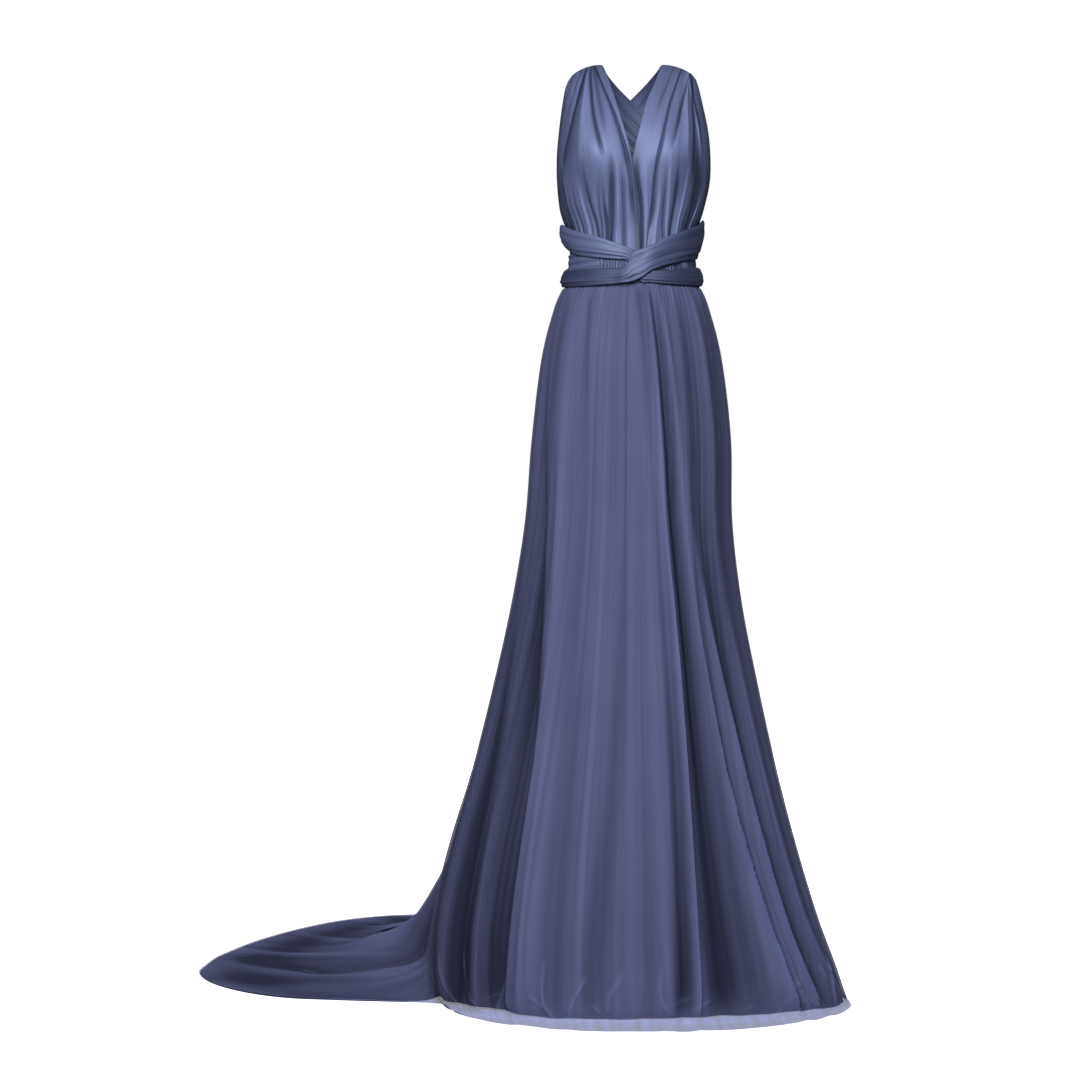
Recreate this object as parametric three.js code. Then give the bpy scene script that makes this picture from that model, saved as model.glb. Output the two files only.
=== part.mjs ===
// Multiway dress: a jersey bodice of two long gathered straps, which cross behind the
// shoulders and twist round the waist, over a jersey lining skirt and a longer sheer tulle
// overskirt, both with a train swept to one side.
// Millimetres, +Z up, the front faces -Y. The origin lies between the two shoulders.

import * as THREE from 'three';

const FLOOR_TO_SHOULDERS = 1540;
const SEAM_GAP = 0.3;

const JERSEY_WALL = 1.5;
const TULLE_WALL = 1.1;
const STRAP_WALL = 1.8;

const WAIST_SEAM = 1172;
const BODICE_SEAM = 1224;

const jersey = new THREE.MeshStandardMaterial({ color: 0x565d80, roughness: 0.85, metalness: 0 });
const tulle = new THREE.MeshStandardMaterial({ color: 0x7a81a6, roughness: 0.8, metalness: 0 });

const dress = new THREE.Group();
dress.position.z = -FLOOR_TO_SHOULDERS;

// ---------------------------------------------------------------- small maths

const radians = (degrees) => degrees * Math.PI / 180;
const clamp01 = (t) => Math.min(1, Math.max(0, t));
const mix = (a, b, t) => a + (b - a) * t;

function smooth(t) {
  const s = clamp01(t);
  return s * s * (3 - 2 * s);
}

// The value of one column of a table at a fractional row, on a smooth curve.
function curve(table, column, row) {
  const last = table.length - 1;
  const i = Math.min(Math.max(Math.floor(row), 0), last - 1);
  const t = row - i;
  const before = table[Math.max(i - 1, 0)][column];
  const from = table[i][column];
  const to = table[Math.min(i + 1, last)][column];
  const after = table[Math.min(i + 2, last)][column];
  const slope = to - before;
  const bend = 2 * before - 5 * from + 4 * to - after;
  const turn = 3 * from - before - 3 * to + after;
  return 0.5 * (2 * from + slope * t + bend * t * t + turn * t * t * t);
}

// A ridge, or with a negative depth a trough: steeper on one side when it leans.
function fold(distance, spread, lean) {
  const width = spread * (distance > 0 ? 1 + lean : 1 - lean);
  return Math.exp(-((distance / width) ** 2));
}

// ---------------------------------------------------------------- walls

// The outward direction of a surface at (u, v), from its own slopes.
function normalOf(surface, u, v, du, dv) {
  const alongU = surface(u + du, v).sub(surface(u - du, v));
  const alongV = surface(u, v + dv).sub(surface(u, v - dv));
  return alongU.cross(alongV).normalize();
}

function meshOf(name, points, faces, material) {
  const positions = new Float32Array(points.length * 3);
  points.forEach((point, i) => point.toArray(positions, i * 3));
  const geometry = new THREE.BufferGeometry();
  geometry.setAttribute('position', new THREE.BufferAttribute(positions, 3));
  geometry.setIndex(faces.flat());
  geometry.computeVertexNormals();
  const mesh = new THREE.Mesh(geometry, material);
  mesh.name = name;
  dress.add(mesh);
}

// A cloth wall over a grid: sections[v][u] holds { outer, inner } points. A closed one
// joins its last column to its first.
function clothWall(name, sections, material, closed = false) {
  const rows = sections.length;
  const columns = sections[0].length;
  const points = [];
  for (const section of sections) for (const pair of section) points.push(pair.outer, pair.inner);
  const outer = (v, u) => (v * columns + u % columns) * 2;
  const inner = (v, u) => outer(v, u) + 1;
  const faces = [];
  const quad = (a, b, c, d) => faces.push([a, b, c], [a, c, d]);
  const spans = closed ? columns : columns - 1;
  for (let v = 0; v < rows - 1; v++) {
    for (let u = 0; u < spans; u++) {
      quad(outer(v, u), outer(v, u + 1), outer(v + 1, u + 1), outer(v + 1, u));
      quad(inner(v, u), inner(v + 1, u), inner(v + 1, u + 1), inner(v, u + 1));
    }
    if (closed) continue;
    quad(outer(v, 0), outer(v + 1, 0), inner(v + 1, 0), inner(v, 0));
    const end = columns - 1;
    quad(outer(v, end), inner(v, end), inner(v + 1, end), outer(v + 1, end));
  }
  for (let u = 0; u < spans; u++) {
    const top = rows - 1;
    quad(outer(0, u), inner(0, u), inner(0, u + 1), outer(0, u + 1));
    quad(outer(top, u), outer(top, u + 1), inner(top, u + 1), inner(top, u));
  }
  meshOf(name, points, faces, material);
}

// ---------------------------------------------------------------- skirts

// Sections of the overskirt from the waist down. The height is stated for the front and for
// the middle of the train, and the half widths and depths are measured from the body's axis.
// The two sweeps carry the train to the wearer's right and backwards. The last two sections
// lie on the floor.
const SKIRT = [
  { front: 1172, train: 1172, left: 112, right: 111, fore: 84, aft: 86, toSide: 0, toBack: 0 },
  { front: 1138, train: 1138, left: 128, right: 126, fore: 93, aft: 97, toSide: 0, toBack: 0 },
  { front: 1054, train: 1054, left: 149, right: 147, fore: 104, aft: 113, toSide: 0, toBack: 0 },
  { front: 923, train: 923, left: 165, right: 162, fore: 113, aft: 130, toSide: 0, toBack: 0 },
  { front: 790, train: 790, left: 176, right: 164, fore: 120, aft: 148, toSide: 0, toBack: 4 },
  { front: 660, train: 660, left: 197, right: 179, fore: 133, aft: 170, toSide: 0, toBack: 14 },
  { front: 530, train: 530, left: 226, right: 204, fore: 148, aft: 190, toSide: 2, toBack: 40 },
  { front: 398, train: 398, left: 260, right: 233, fore: 164, aft: 208, toSide: 8, toBack: 92 },
  { front: 267, train: 267, left: 298, right: 266, fore: 180, aft: 225, toSide: 38, toBack: 175 },
  { front: 150, train: 150, left: 324, right: 300, fore: 190, aft: 238, toSide: 100, toBack: 300 },
  { front: 70, train: 70, left: 330, right: 328, fore: 196, aft: 246, toSide: 170, toBack: 440 },
  { front: 25, train: 25, left: 326, right: 344, fore: 201, aft: 252, toSide: 260, toBack: 560 },
  { front: 4, train: 3, left: 316, right: 354, fore: 208, aft: 256, toSide: 360, toBack: 640 },
  { front: 1, train: 3, left: 306, right: 358, fore: 256, aft: 262, toSide: 462, toBack: 716 },
];
const SKIRT_END = SKIRT.length - 1;
const ON_FLOOR = SKIRT_END - 1;

// Ridges (positive depth) and troughs (negative), each at its angle from the front centre,
// positive to the left, at the hip, the knee and the hem.
const FOLDS = [
  { hip: 4, knee: 3, hem: 1, start: 2, depth: 5, spread: 11, lean: 0 },
  { hip: -13, knee: -18.5, hem: -17.5, start: -1, depth: 11, spread: 5.5, lean: 0.3 },
  { hip: -19.5, knee: -26, hem: -25, start: -2, depth: -16, spread: 5, lean: -0.3 },
  { hip: -30, knee: -35, hem: -38, start: 0, depth: 9, spread: 5, lean: 0.2 },
  { hip: -41, knee: -42.5, hem: -45.5, start: 0, depth: -9, spread: 4.5, lean: -0.1 },
  { hip: -55, knee: -50, hem: -53, start: 1, depth: 9, spread: 5, lean: 0.1 },
  { hip: -68, knee: -60, hem: -62, start: 2, depth: -9, spread: 5, lean: 0 },
  { hip: -79, knee: -72, hem: -73, start: 3, depth: 7, spread: 6, lean: -0.2 },
  { hip: 23, knee: 14, hem: 13, start: 3, depth: -5, spread: 6, lean: 0.1 },
  { hip: 36, knee: 25, hem: 23, start: 2, depth: 7, spread: 6, lean: -0.2 },
  { hip: 62, knee: 36, hem: 33.5, start: -1, depth: -15, spread: 6, lean: 0.3 },
  { hip: 72, knee: 50, hem: 45, start: 1, depth: 10, spread: 6, lean: 0.2 },
  { hip: 80, knee: 62, hem: 57, start: 3, depth: -6, spread: 5, lean: 0 },
  { hip: 88, knee: 76, hem: 70, start: 4, depth: 6, spread: 7, lean: 0 },
  { hip: 103, knee: 108, hem: 112, start: 3, depth: -9, spread: 7, lean: 0.1 },
  { hip: 118, knee: 124, hem: 126, start: 1, depth: 10, spread: 7, lean: -0.2 },
  { hip: 133, knee: 139, hem: 141, start: 2, depth: -10, spread: 6, lean: 0 },
  { hip: 148, knee: 152, hem: 154, start: 0, depth: 11, spread: 7, lean: 0.2 },
  { hip: 165, knee: 167, hem: 168, start: 1, depth: -12, spread: 6, lean: -0.1 },
  { hip: 180, knee: 181, hem: 182, start: 0, depth: 9, spread: 7, lean: 0 },
  { hip: 196, knee: 195, hem: 195, start: 2, depth: -10, spread: 6, lean: 0.2 },
  { hip: 211, knee: 210, hem: 209, start: 1, depth: 11, spread: 7, lean: -0.1 },
  { hip: 227, knee: 226, hem: 224, start: 2, depth: -9, spread: 6, lean: 0 },
  { hip: 243, knee: 243, hem: 241, start: 1, depth: 10, spread: 8, lean: 0.2 },
  { hip: 260, knee: 262, hem: 261, start: 3, depth: -8, spread: 7, lean: -0.2 },
];
const HIP = 3;
const KNEE = 7;
const HEM = 11;

// How far a direction belongs to the part of the train that sweeps sideways or backwards: the
// hanging cloth swings round gradually, and the cloth on the floor turns out at once.
const landed = (level) => smooth((level - 10) / 2.5);
const inTrain = (angle) => smooth((angle - 84) / 30) * (1 - smooth((angle - 224) / 44));

function sideways(angle, level) {
  const swing = mix(smooth((angle - 92) / 55), smooth((angle - 84) / 26), landed(level));
  return swing * (1 - smooth((angle - 128) / 135));
}

function backwards(angle, level) {
  const corner = 0.45 * smooth((angle - 97) / 20) + 0.55 * smooth((angle - 108) / 62);
  return mix(smooth((angle - 94) / 72), corner, landed(level)) * (1 - smooth((angle - 190) / 78));
}

function skirtBase(angle, level) {
  const turn = radians(angle);
  const across = Math.sin(turn);
  const ahead = Math.cos(turn);
  const half = curve(SKIRT, across > 0 ? 'left' : 'right', level);
  const depth = curve(SKIRT, ahead > 0 ? 'fore' : 'aft', level);
  return new THREE.Vector3(
    -half * across - curve(SKIRT, 'toSide', level) * sideways(angle, level),
    -depth * ahead + curve(SKIRT, 'toBack', level) * backwards(angle, level),
    mix(curve(SKIRT, 'front', level), curve(SKIRT, 'train', level), inTrain(angle)),
  );
}

function foldAngle(row, level) {
  if (level < KNEE) return mix(row.hip, row.knee, (level - HIP) / (KNEE - HIP));
  return mix(row.knee, row.hem, smooth((level - KNEE) / (HEM - KNEE)));
}

function foldDepth(angle, level) {
  const pinned = smooth(level / 0.8);
  const settled = 1 - smooth((level - 10) / 2.2) * mix(0.75, 0.95, inTrain(angle));
  let depth = 0;
  for (const row of FOLDS) {
    const grown = smooth((level - row.start) / (HEM - row.start));
    const away = ((angle - foldAngle(row, level) + 540) % 360) - 180;
    depth += row.depth * grown * fold(away, row.spread, row.lean);
  }
  return depth * pinned * settled;
}

// The overskirt's outer face, or a layer a given distance inside it.
function skirtSurface(inset) {
  return (angle, level) => {
    const outward = normalOf(skirtBase, angle, level, 0.5, 0.05);
    const distance = foldDepth(angle, level) - inset(angle, level);
    return skirtBase(angle, level).addScaledVector(outward, distance);
  };
}

// The room between the two skirts, which is widest at the shins and closes on the floor.
function skirtRoom(angle, level) {
  const hanging = mix(0.7, 15, smooth(level / 10));
  const lying = smooth((level - 8.4) / 3);
  return mix(hanging, 0.6, lying * inTrain(angle));
}

// A point pair of a cloth wall that rests on whatever lies at the height below it. The wall
// stands square to the face at the lean angle, so both sides of a seam lean alike.
function wallPair(face, angle, level, wall, rest, lean) {
  const outward = normalOf(face, lean, level, 0.5, 0.05);
  const outer = face(angle, level);
  const inner = outer.clone().addScaledVector(outward, -wall);
  outer.z = Math.max(outer.z, rest + wall * Math.max(outward.z, 0));
  inner.z = Math.max(inner.z, rest);
  return { outer, inner };
}

const tulleFace = skirtSurface(() => 0);
const liningFace = skirtSurface((angle, level) => TULLE_WALL + skirtRoom(angle, level));

// The lining stops short of the overskirt's hem all round.
const liningEnd = (angle) => mix(ON_FLOOR - 0.12, SKIRT_END - 0.28, inTrain(angle));

// The overskirt rests on the lining, and beyond the lining's hem on the floor.
function tulleRest(angle, level) {
  const past = level - liningEnd(angle);
  return (JERSEY_WALL + 2 * SEAM_GAP) * (1 - smooth((past - 0.05) / 0.2));
}

const SKIRT_ROWS = 14;
const HEM_ROWS = 3;

// Both skirts share their levels down to the lining's hem, closer where they meet the floor.
function levelAt(angle, row) {
  const end = liningEnd(angle);
  const share = row / SKIRT_ROWS;
  if (share <= 1) return end * (share - 0.035 * Math.sin(2 * Math.PI * share));
  return mix(end, SKIRT_END, (row - SKIRT_ROWS) / HEM_ROWS);
}

// Columns lie closer where the crowd is, as the train's cloth fans out from there.
function leanAt(side, column) {
  const share = 1 - column / side.columns;
  return mix(side.from, side.to, share * (1 - side.crowd + side.crowd * share));
}

function skirtHalf(name, face, rest, wall, rows, side, material) {
  const sections = [];
  for (let row = rows; row >= 0; row--) {
    const section = [];
    for (let column = 0; column <= side.columns; column++) {
      const lean = leanAt(side, column);
      const level = levelAt(lean, row);
      const perDegree = face(lean + 0.5, level).distanceTo(face(lean - 0.5, level));
      const margin = 0.75 * SEAM_GAP / perDegree;
      const angle = Math.min(Math.max(lean, side.from + margin), side.to - margin);
      section.push(wallPair(face, angle, level, wall, rest(angle, level), lean));
    }
    sections.push(section);
  }
  clothWall(name, sections, material);
}

const FRONT = { from: -90, to: 90, columns: 40, crowd: 0 };
const BACK = { from: 90, to: 270, columns: 36, crowd: 0.4 };
const onFloor = () => 0;

for (const [half, side] of [['front', FRONT], ['back', BACK]]) {
  skirtHalf(`lining_${half}`, liningFace, onFloor, JERSEY_WALL, SKIRT_ROWS, side, jersey);
  const tulleRows = SKIRT_ROWS + HEM_ROWS;
  skirtHalf(`overskirt_${half}`, tulleFace, tulleRest, TULLE_WALL, tulleRows, side, tulle);
}

// ---------------------------------------------------------------- waist

// Outlines of the waistband and of what lies on it, every 30 mm from below the waist seam.
const TORSO_FOOT = 1164;
const TORSO_STEP = 30;
const TORSO = [
  { side: 110, fore: 84, aft: 85.5 },
  { side: 104.5, fore: 80, aft: 82 },
  { side: 102.5, fore: 79, aft: 81 },
  { side: 107.5, fore: 82.5, aft: 84 },
  { side: 113, fore: 88.5, aft: 89 },
  { side: 118, fore: 95, aft: 94 },
];

// A point on the torso at an angle from the front centre, lifted off it by a distance.
function torsoPoint(angle, height, lift) {
  const row = (height - TORSO_FOOT) / TORSO_STEP;
  const turn = radians(angle);
  const depth = curve(TORSO, Math.cos(turn) > 0 ? 'fore' : 'aft', row) + lift;
  const half = curve(TORSO, 'side', row) + lift;
  return new THREE.Vector3(-half * Math.sin(turn), -depth * Math.cos(turn), height);
}

// The waistband, whose shirring shows between the straps in front.
const BAND_WALL = 2;
const SHIRR_PITCH = 4;
const SHIRR_DEPTH = 1.1;
const SHIRRED_TO = 64;
const BAND_HEIGHTS = [WAIST_SEAM + SEAM_GAP, 1196, BODICE_SEAM];

function bandAngles() {
  const angles = [];
  for (let angle = SHIRRED_TO; angle > -SHIRRED_TO; angle -= SHIRR_PITCH / 2) angles.push(angle);
  const plain = 20;
  for (let i = 0; i < plain; i++) {
    angles.push(-SHIRRED_TO - (360 - 2 * SHIRRED_TO) * i / plain);
  }
  return angles;
}

function waistband() {
  const sections = BAND_HEIGHTS.map((height) => bandAngles().map((angle, i) => {
    const onRidge = Math.abs(angle) < SHIRRED_TO && i % 2 === 1;
    const outer = torsoPoint(angle, height, onRidge ? SHIRR_DEPTH : 0);
    return { outer, inner: torsoPoint(angle, height, -BAND_WALL) };
  }));
  clothWall('waistband', sections, jersey, true);
}
waistband();

// The two straps go round the waist as soft rolls: one comes from the upper right, passes
// over at the front centre and goes on to the lower left, the other passes under it. Each
// row states the roll's angle, middle height, how tall and thick it is, and its lift.
const OVER_UPPER = [
  { turn: -109, height: 1250, tall: 56, thick: 6, lift: 2 },
  { turn: -90, height: 1251, tall: 64, thick: 8.5, lift: 2 },
  { turn: -70, height: 1243, tall: 56, thick: 8, lift: 2 },
  { turn: -48, height: 1233, tall: 48, thick: 9, lift: 2.2 },
  { turn: -28, height: 1223, tall: 41, thick: 9, lift: 4 },
  { turn: -14, height: 1214.5, tall: 35, thick: 8.5, lift: 9 },
  { turn: -6, height: 1207, tall: 33, thick: 8, lift: 10 },
  { turn: 1.4, height: 1197, tall: 29, thick: 8, lift: 10 },
];
const OVER_LOWER = [
  { turn: 1.6, height: 1196.6, tall: 29, thick: 8, lift: 10 },
  { turn: 7, height: 1187, tall: 22, thick: 8, lift: 9.6 },
  { turn: 15, height: 1184, tall: 23, thick: 8, lift: 5 },
  { turn: 32, height: 1184, tall: 31, thick: 9, lift: 2.6 },
  { turn: 60, height: 1186, tall: 33, thick: 9, lift: 2.6 },
  { turn: 90, height: 1192, tall: 32, thick: 9.5, lift: 2.6 },
  { turn: 125, height: 1195, tall: 34, thick: 9, lift: 2.6 },
  { turn: 170, height: 1197, tall: 26, thick: 9, lift: 2.6 },
];
const UNDER_UPPER = [
  { turn: 109, height: 1256, tall: 40, thick: 7, lift: 2 },
  { turn: 90, height: 1258, tall: 38, thick: 9, lift: 2 },
  { turn: 60, height: 1246, tall: 38, thick: 9, lift: 2 },
  { turn: 32, height: 1236, tall: 37, thick: 9, lift: 2 },
  { turn: 15, height: 1228, tall: 30, thick: 8, lift: 2 },
  { turn: 6, height: 1219, tall: 29, thick: 7, lift: 2 },
  { turn: 0.6, height: 1210, tall: 29, thick: 6.6, lift: 2 },
];
const UNDER_LOWER = [
  { turn: 0.4, height: 1209.6, tall: 29, thick: 6.6, lift: 2 },
  { turn: -6, height: 1194, tall: 23, thick: 6.6, lift: 2 },
  { turn: -13, height: 1183, tall: 18, thick: 7, lift: 2 },
  { turn: -30, height: 1182, tall: 26, thick: 9, lift: 2.4 },
  { turn: -60, height: 1186, tall: 30, thick: 9, lift: 2.6 },
  { turn: -90, height: 1190, tall: 31, thick: 9, lift: 2.6 },
  { turn: -125, height: 1195, tall: 34, thick: 9, lift: 2.6 },
  { turn: -170, height: 1197, tall: 26, thick: 9, lift: 2.6 },
];
const ROLL_SIDES = 12;
const ROLL_CORNER = 0.7;
const ROLL_CREASE = 0.14;

// A rounded section: across it and out from the torso, creased along its outer side.
function rollSection(side) {
  const turn = 2 * Math.PI * side / ROLL_SIDES;
  const across = Math.sign(Math.cos(turn)) * Math.abs(Math.cos(turn)) ** ROLL_CORNER;
  const out = Math.sign(Math.sin(turn)) * Math.abs(Math.sin(turn)) ** ROLL_CORNER;
  const creased = side % 2 === 1 && Math.sin(turn) > 0.5 ? ROLL_CREASE : 0;
  return { across: across / 2, out: (1 + out) / 2 * (1 - creased) };
}

function roll(name, table, stations) {
  const points = [];
  for (let station = 0; station <= stations; station++) {
    const row = (table.length - 1) * station / stations;
    for (let side = 0; side < ROLL_SIDES; side++) {
      const { across, out } = rollSection(side);
      const height = curve(table, 'height', row) + across * curve(table, 'tall', row);
      const lift = curve(table, 'lift', row) + out * curve(table, 'thick', row);
      points.push(torsoPoint(curve(table, 'turn', row), height, lift));
    }
  }
  const toLeft = table[table.length - 1].turn > table[0].turn;
  const faces = [];
  const face = (a, b, c) => faces.push(toLeft ? [a, b, c] : [a, c, b]);
  const at = (station, side) => station * ROLL_SIDES + side % ROLL_SIDES;
  for (let station = 0; station < stations; station++) {
    for (let side = 0; side < ROLL_SIDES; side++) {
      face(at(station, side), at(station + 1, side), at(station + 1, side + 1));
      face(at(station, side), at(station + 1, side + 1), at(station, side + 1));
    }
  }
  for (let side = 1; side < ROLL_SIDES - 1; side++) {
    face(at(0, 0), at(0, side), at(0, side + 1));
    face(at(stations, 0), at(stations, side + 1), at(stations, side));
  }
  meshOf(name, points, faces, jersey);
}

roll('wrap_upper_right', OVER_UPPER, 16);
roll('wrap_lower_left', OVER_LOWER, 20);
roll('wrap_upper_left', UNDER_UPPER, 15);
roll('wrap_lower_right', UNDER_LOWER, 20);

// The flat knot that ties both straps at the back.
const KNOT = { half: 17, deep: 7, tall: 16, out: 89.4, height: 1197 };
function knot() {
  const ball = new THREE.SphereGeometry(1, 14, 8);
  const places = ball.attributes.position;
  const soften = (value) => Math.sign(value) * Math.abs(value) ** 0.75;
  for (let i = 0; i < places.count; i++) {
    const x = KNOT.half * soften(places.getX(i));
    const y = KNOT.deep * soften(places.getY(i)) + KNOT.out;
    const z = KNOT.tall * soften(places.getZ(i)) + KNOT.height;
    places.setXYZ(i, x, y, z);
  }
  ball.computeVertexNormals();
  const mesh = new THREE.Mesh(ball, jersey);
  mesh.name = 'back_knot';
  dress.add(mesh);
}
knot();

// ---------------------------------------------------------------- bodice

// Sections of a bodice panel from the waist seam up to the top of the shoulder: the height,
// reach and depth of the edge at the neckline and of the edge at the armhole.
const PANEL_LEFT = [
  { neckZ: 1224.3, neckX: 10, neckY: -79, armZ: 1224.3, armX: -100, armY: 18, arch: 0 },
  { neckZ: 1264, neckX: 8, neckY: -84, armZ: 1264, armX: -106.5, armY: 19, arch: 0 },
  { neckZ: 1300, neckX: 5, neckY: -92, armZ: 1300, armX: -118, armY: 19, arch: 0 },
  { neckZ: 1342, neckX: 0, neckY: -101, armZ: 1345, armX: -123, armY: 16, arch: 0 },
  { neckZ: 1382, neckX: -6, neckY: -104, armZ: 1388, armX: -123.5, armY: 12, arch: 0 },
  { neckZ: 1425, neckX: -18, neckY: -98, armZ: 1430, armX: -120, armY: 10, arch: 0 },
  { neckZ: 1466, neckX: -29, neckY: -79, armZ: 1470, armX: -115, armY: 12, arch: 0 },
  { neckZ: 1501, neckX: -38, neckY: -49, armZ: 1499, armX: -110, armY: 17, arch: 2 },
  { neckZ: 1527, neckX: -45, neckY: -15, armZ: 1510, armX: -106, armY: 23, arch: 4 },
  { neckZ: 1540, neckX: -48, neckY: 18, armZ: 1515, armX: -103, armY: 29, arch: 5 },
];
const PANEL_RIGHT = [
  { neckZ: 1224.3, neckX: -13, neckY: -74.4, armZ: 1224.3, armX: 100, armY: 18, arch: 0 },
  { neckZ: 1264, neckX: -12, neckY: -79.4, armZ: 1264, armX: 106.5, armY: 19, arch: 0 },
  { neckZ: 1300, neckX: -11, neckY: -87.4, armZ: 1300, armX: 118, armY: 19, arch: 0 },
  { neckZ: 1342, neckX: -9, neckY: -96.6, armZ: 1345, armX: 128, armY: 16, arch: 0 },
  { neckZ: 1382, neckX: -1, neckY: -100.6, armZ: 1388, armX: 129, armY: 12, arch: 0 },
  { neckZ: 1425, neckX: 10, neckY: -97, armZ: 1430, armX: 125, armY: 10, arch: 0 },
  { neckZ: 1466, neckX: 21, neckY: -79, armZ: 1470, armX: 117, armY: 12, arch: 0 },
  { neckZ: 1501, neckX: 35, neckY: -49, armZ: 1499, armX: 111, armY: 17, arch: 2 },
  { neckZ: 1527, neckX: 44, neckY: -15, armZ: 1510, armX: 108, armY: 23, arch: 4 },
  { neckZ: 1540, neckX: 48, neckY: 18, armZ: 1515, armX: 106, armY: 29, arch: 5 },
];

// Gathers of a panel: where each runs across the shoulder, the bust and the waist as a share
// from the neckline to the armhole, and its depth there.
const GATHERS_LEFT = [
  { shoulder: 0.08, bust: 0.03, waist: 0.05, top: 1.6, middle: 0.6, foot: 1.2, spread: 0.035 },
  { shoulder: 0.19, bust: 0.08, waist: 0.13, top: -2.4, middle: -1.6, foot: -1.2, spread: 0.03 },
  { shoulder: 0.29, bust: 0.2, waist: 0.22, top: 2.2, middle: 0.8, foot: 1.4, spread: 0.045 },
  { shoulder: 0.4, bust: 0.42, waist: 0.3, top: -2.4, middle: -1.2, foot: -1.4, spread: 0.035 },
  { shoulder: 0.52, bust: 0.6, waist: 0.4, top: 2, middle: 0.5, foot: 1.4, spread: 0.045 },
  { shoulder: 0.63, bust: 0.84, waist: 0.5, top: -2.2, middle: -1.6, foot: -1.4, spread: 0.035 },
  { shoulder: 0.75, bust: 0.92, waist: 0.62, top: 2, middle: 1.2, foot: 1.4, spread: 0.045 },
  { shoulder: 0.87, bust: 0.97, waist: 0.75, top: -1.8, middle: -0.6, foot: -1.4, spread: 0.035 },
];
const GATHERS_RIGHT = [
  { shoulder: 0.1, bust: 0.05, waist: 0.06, top: 1.4, middle: 0.8, foot: 1, spread: 0.04 },
  { shoulder: 0.24, bust: 0.14, waist: 0.14, top: -1.6, middle: -0.8, foot: -1.2, spread: 0.035 },
  { shoulder: 0.38, bust: 0.22, waist: 0.22, top: 2, middle: 1, foot: 1.2, spread: 0.045 },
  { shoulder: 0.52, bust: 0.33, waist: 0.29, top: -2.4, middle: -2, foot: -1.8, spread: 0.035 },
  { shoulder: 0.63, bust: 0.45, waist: 0.38, top: 1.8, middle: 0.8, foot: 1.4, spread: 0.04 },
  { shoulder: 0.74, bust: 0.56, waist: 0.5, top: -2.2, middle: -1.2, foot: -1.4, spread: 0.03 },
  { shoulder: 0.84, bust: 0.74, waist: 0.64, top: -2, middle: -1.4, foot: -1.4, spread: 0.03 },
  { shoulder: 0.92, bust: 0.88, waist: 0.78, top: -1.6, middle: -1.2, foot: -1.2, spread: 0.03 },
];
const BUST = { height: 1386, reach: 0.36, wide: 0.27, tall: 50, depth: 19 };
const BUST_SHARE = 0.5;
const FRONT_ROUND = 0.6;
const SIDE_ROUND = 0.68;

// The rise of a strap between its edges where it arches over the shoulder.
const archShape = (across) => Math.sin(Math.PI * clamp01(across) ** 0.6);

// A point of a cubic curve through one coordinate's two ends and two handles.
function bezier(a, b, c, d, t) {
  const s = 1 - t;
  return a * s * s * s + 3 * b * s * s * t + 3 * c * s * t * t + d * t * t * t;
}

function gatherDepth(gathers, across, up) {
  const high = clamp01((up - BUST_SHARE) / (1 - BUST_SHARE));
  const low = clamp01((BUST_SHARE - up) / BUST_SHARE);
  let depth = 0;
  for (const row of gathers) {
    const middle = row.bust + (row.shoulder - row.bust) * high + (row.waist - row.bust) * low;
    const strength = row.middle + (row.top - row.middle) * smooth(high)
      + (row.foot - row.middle) * smooth(low * 1.3 - 0.3);
    depth += strength * Math.exp(-(((across - middle) / row.spread) ** 2));
  }
  return depth;
}

// A panel's outer face: across runs from the neckline to the armhole, up from the waist.
function panelSurface(table, gathers) {
  return (across, up) => {
    const row = up * (table.length - 1);
    const at = (column) => curve(table, column, row);
    const handleX = mix(at('neckX'), at('armX'), FRONT_ROUND);
    const handleY = mix(at('armY'), at('neckY'), SIDE_ROUND);
    const x = bezier(at('neckX'), handleX, at('armX'), at('armX'), across);
    const y = bezier(at('neckY'), at('neckY'), handleY, at('armY'), across);
    const z = mix(at('neckZ'), at('armZ'), across) + at('arch') * archShape(across);
    const beside = (across - BUST.reach) / BUST.wide;
    const above = (z - BUST.height) / BUST.tall;
    const bust = BUST.depth * Math.exp(-beside * beside - above * above);
    const edges = smooth(across / 0.08) * smooth((1 - across) / 0.08);
    return new THREE.Vector3(x, y - bust - gatherDepth(gathers, across, up) * edges, z);
  };
}

// A wall over a surface, whose outer side is the one the facing sign picks.
function sheet(name, surface, columns, rows, facing) {
  const sections = [];
  for (let row = 0; row <= rows; row++) {
    const section = [];
    for (let column = 0; column <= columns; column++) {
      const across = column / columns;
      const up = row / rows;
      const outward = normalOf(surface, across, up, 0.004, 0.004).multiplyScalar(facing);
      const outer = surface(across, up);
      section.push({ outer, inner: outer.clone().addScaledVector(outward, -STRAP_WALL) });
    }
    sections.push(facing > 0 ? section : section.reverse());
  }
  clothWall(name, sections, jersey);
}

sheet('bodice_left', panelSurface(PANEL_LEFT, GATHERS_LEFT), 20, 15, -1);
sheet('bodice_right', panelSurface(PANEL_RIGHT, GATHERS_RIGHT), 20, 15, 1);

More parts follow.
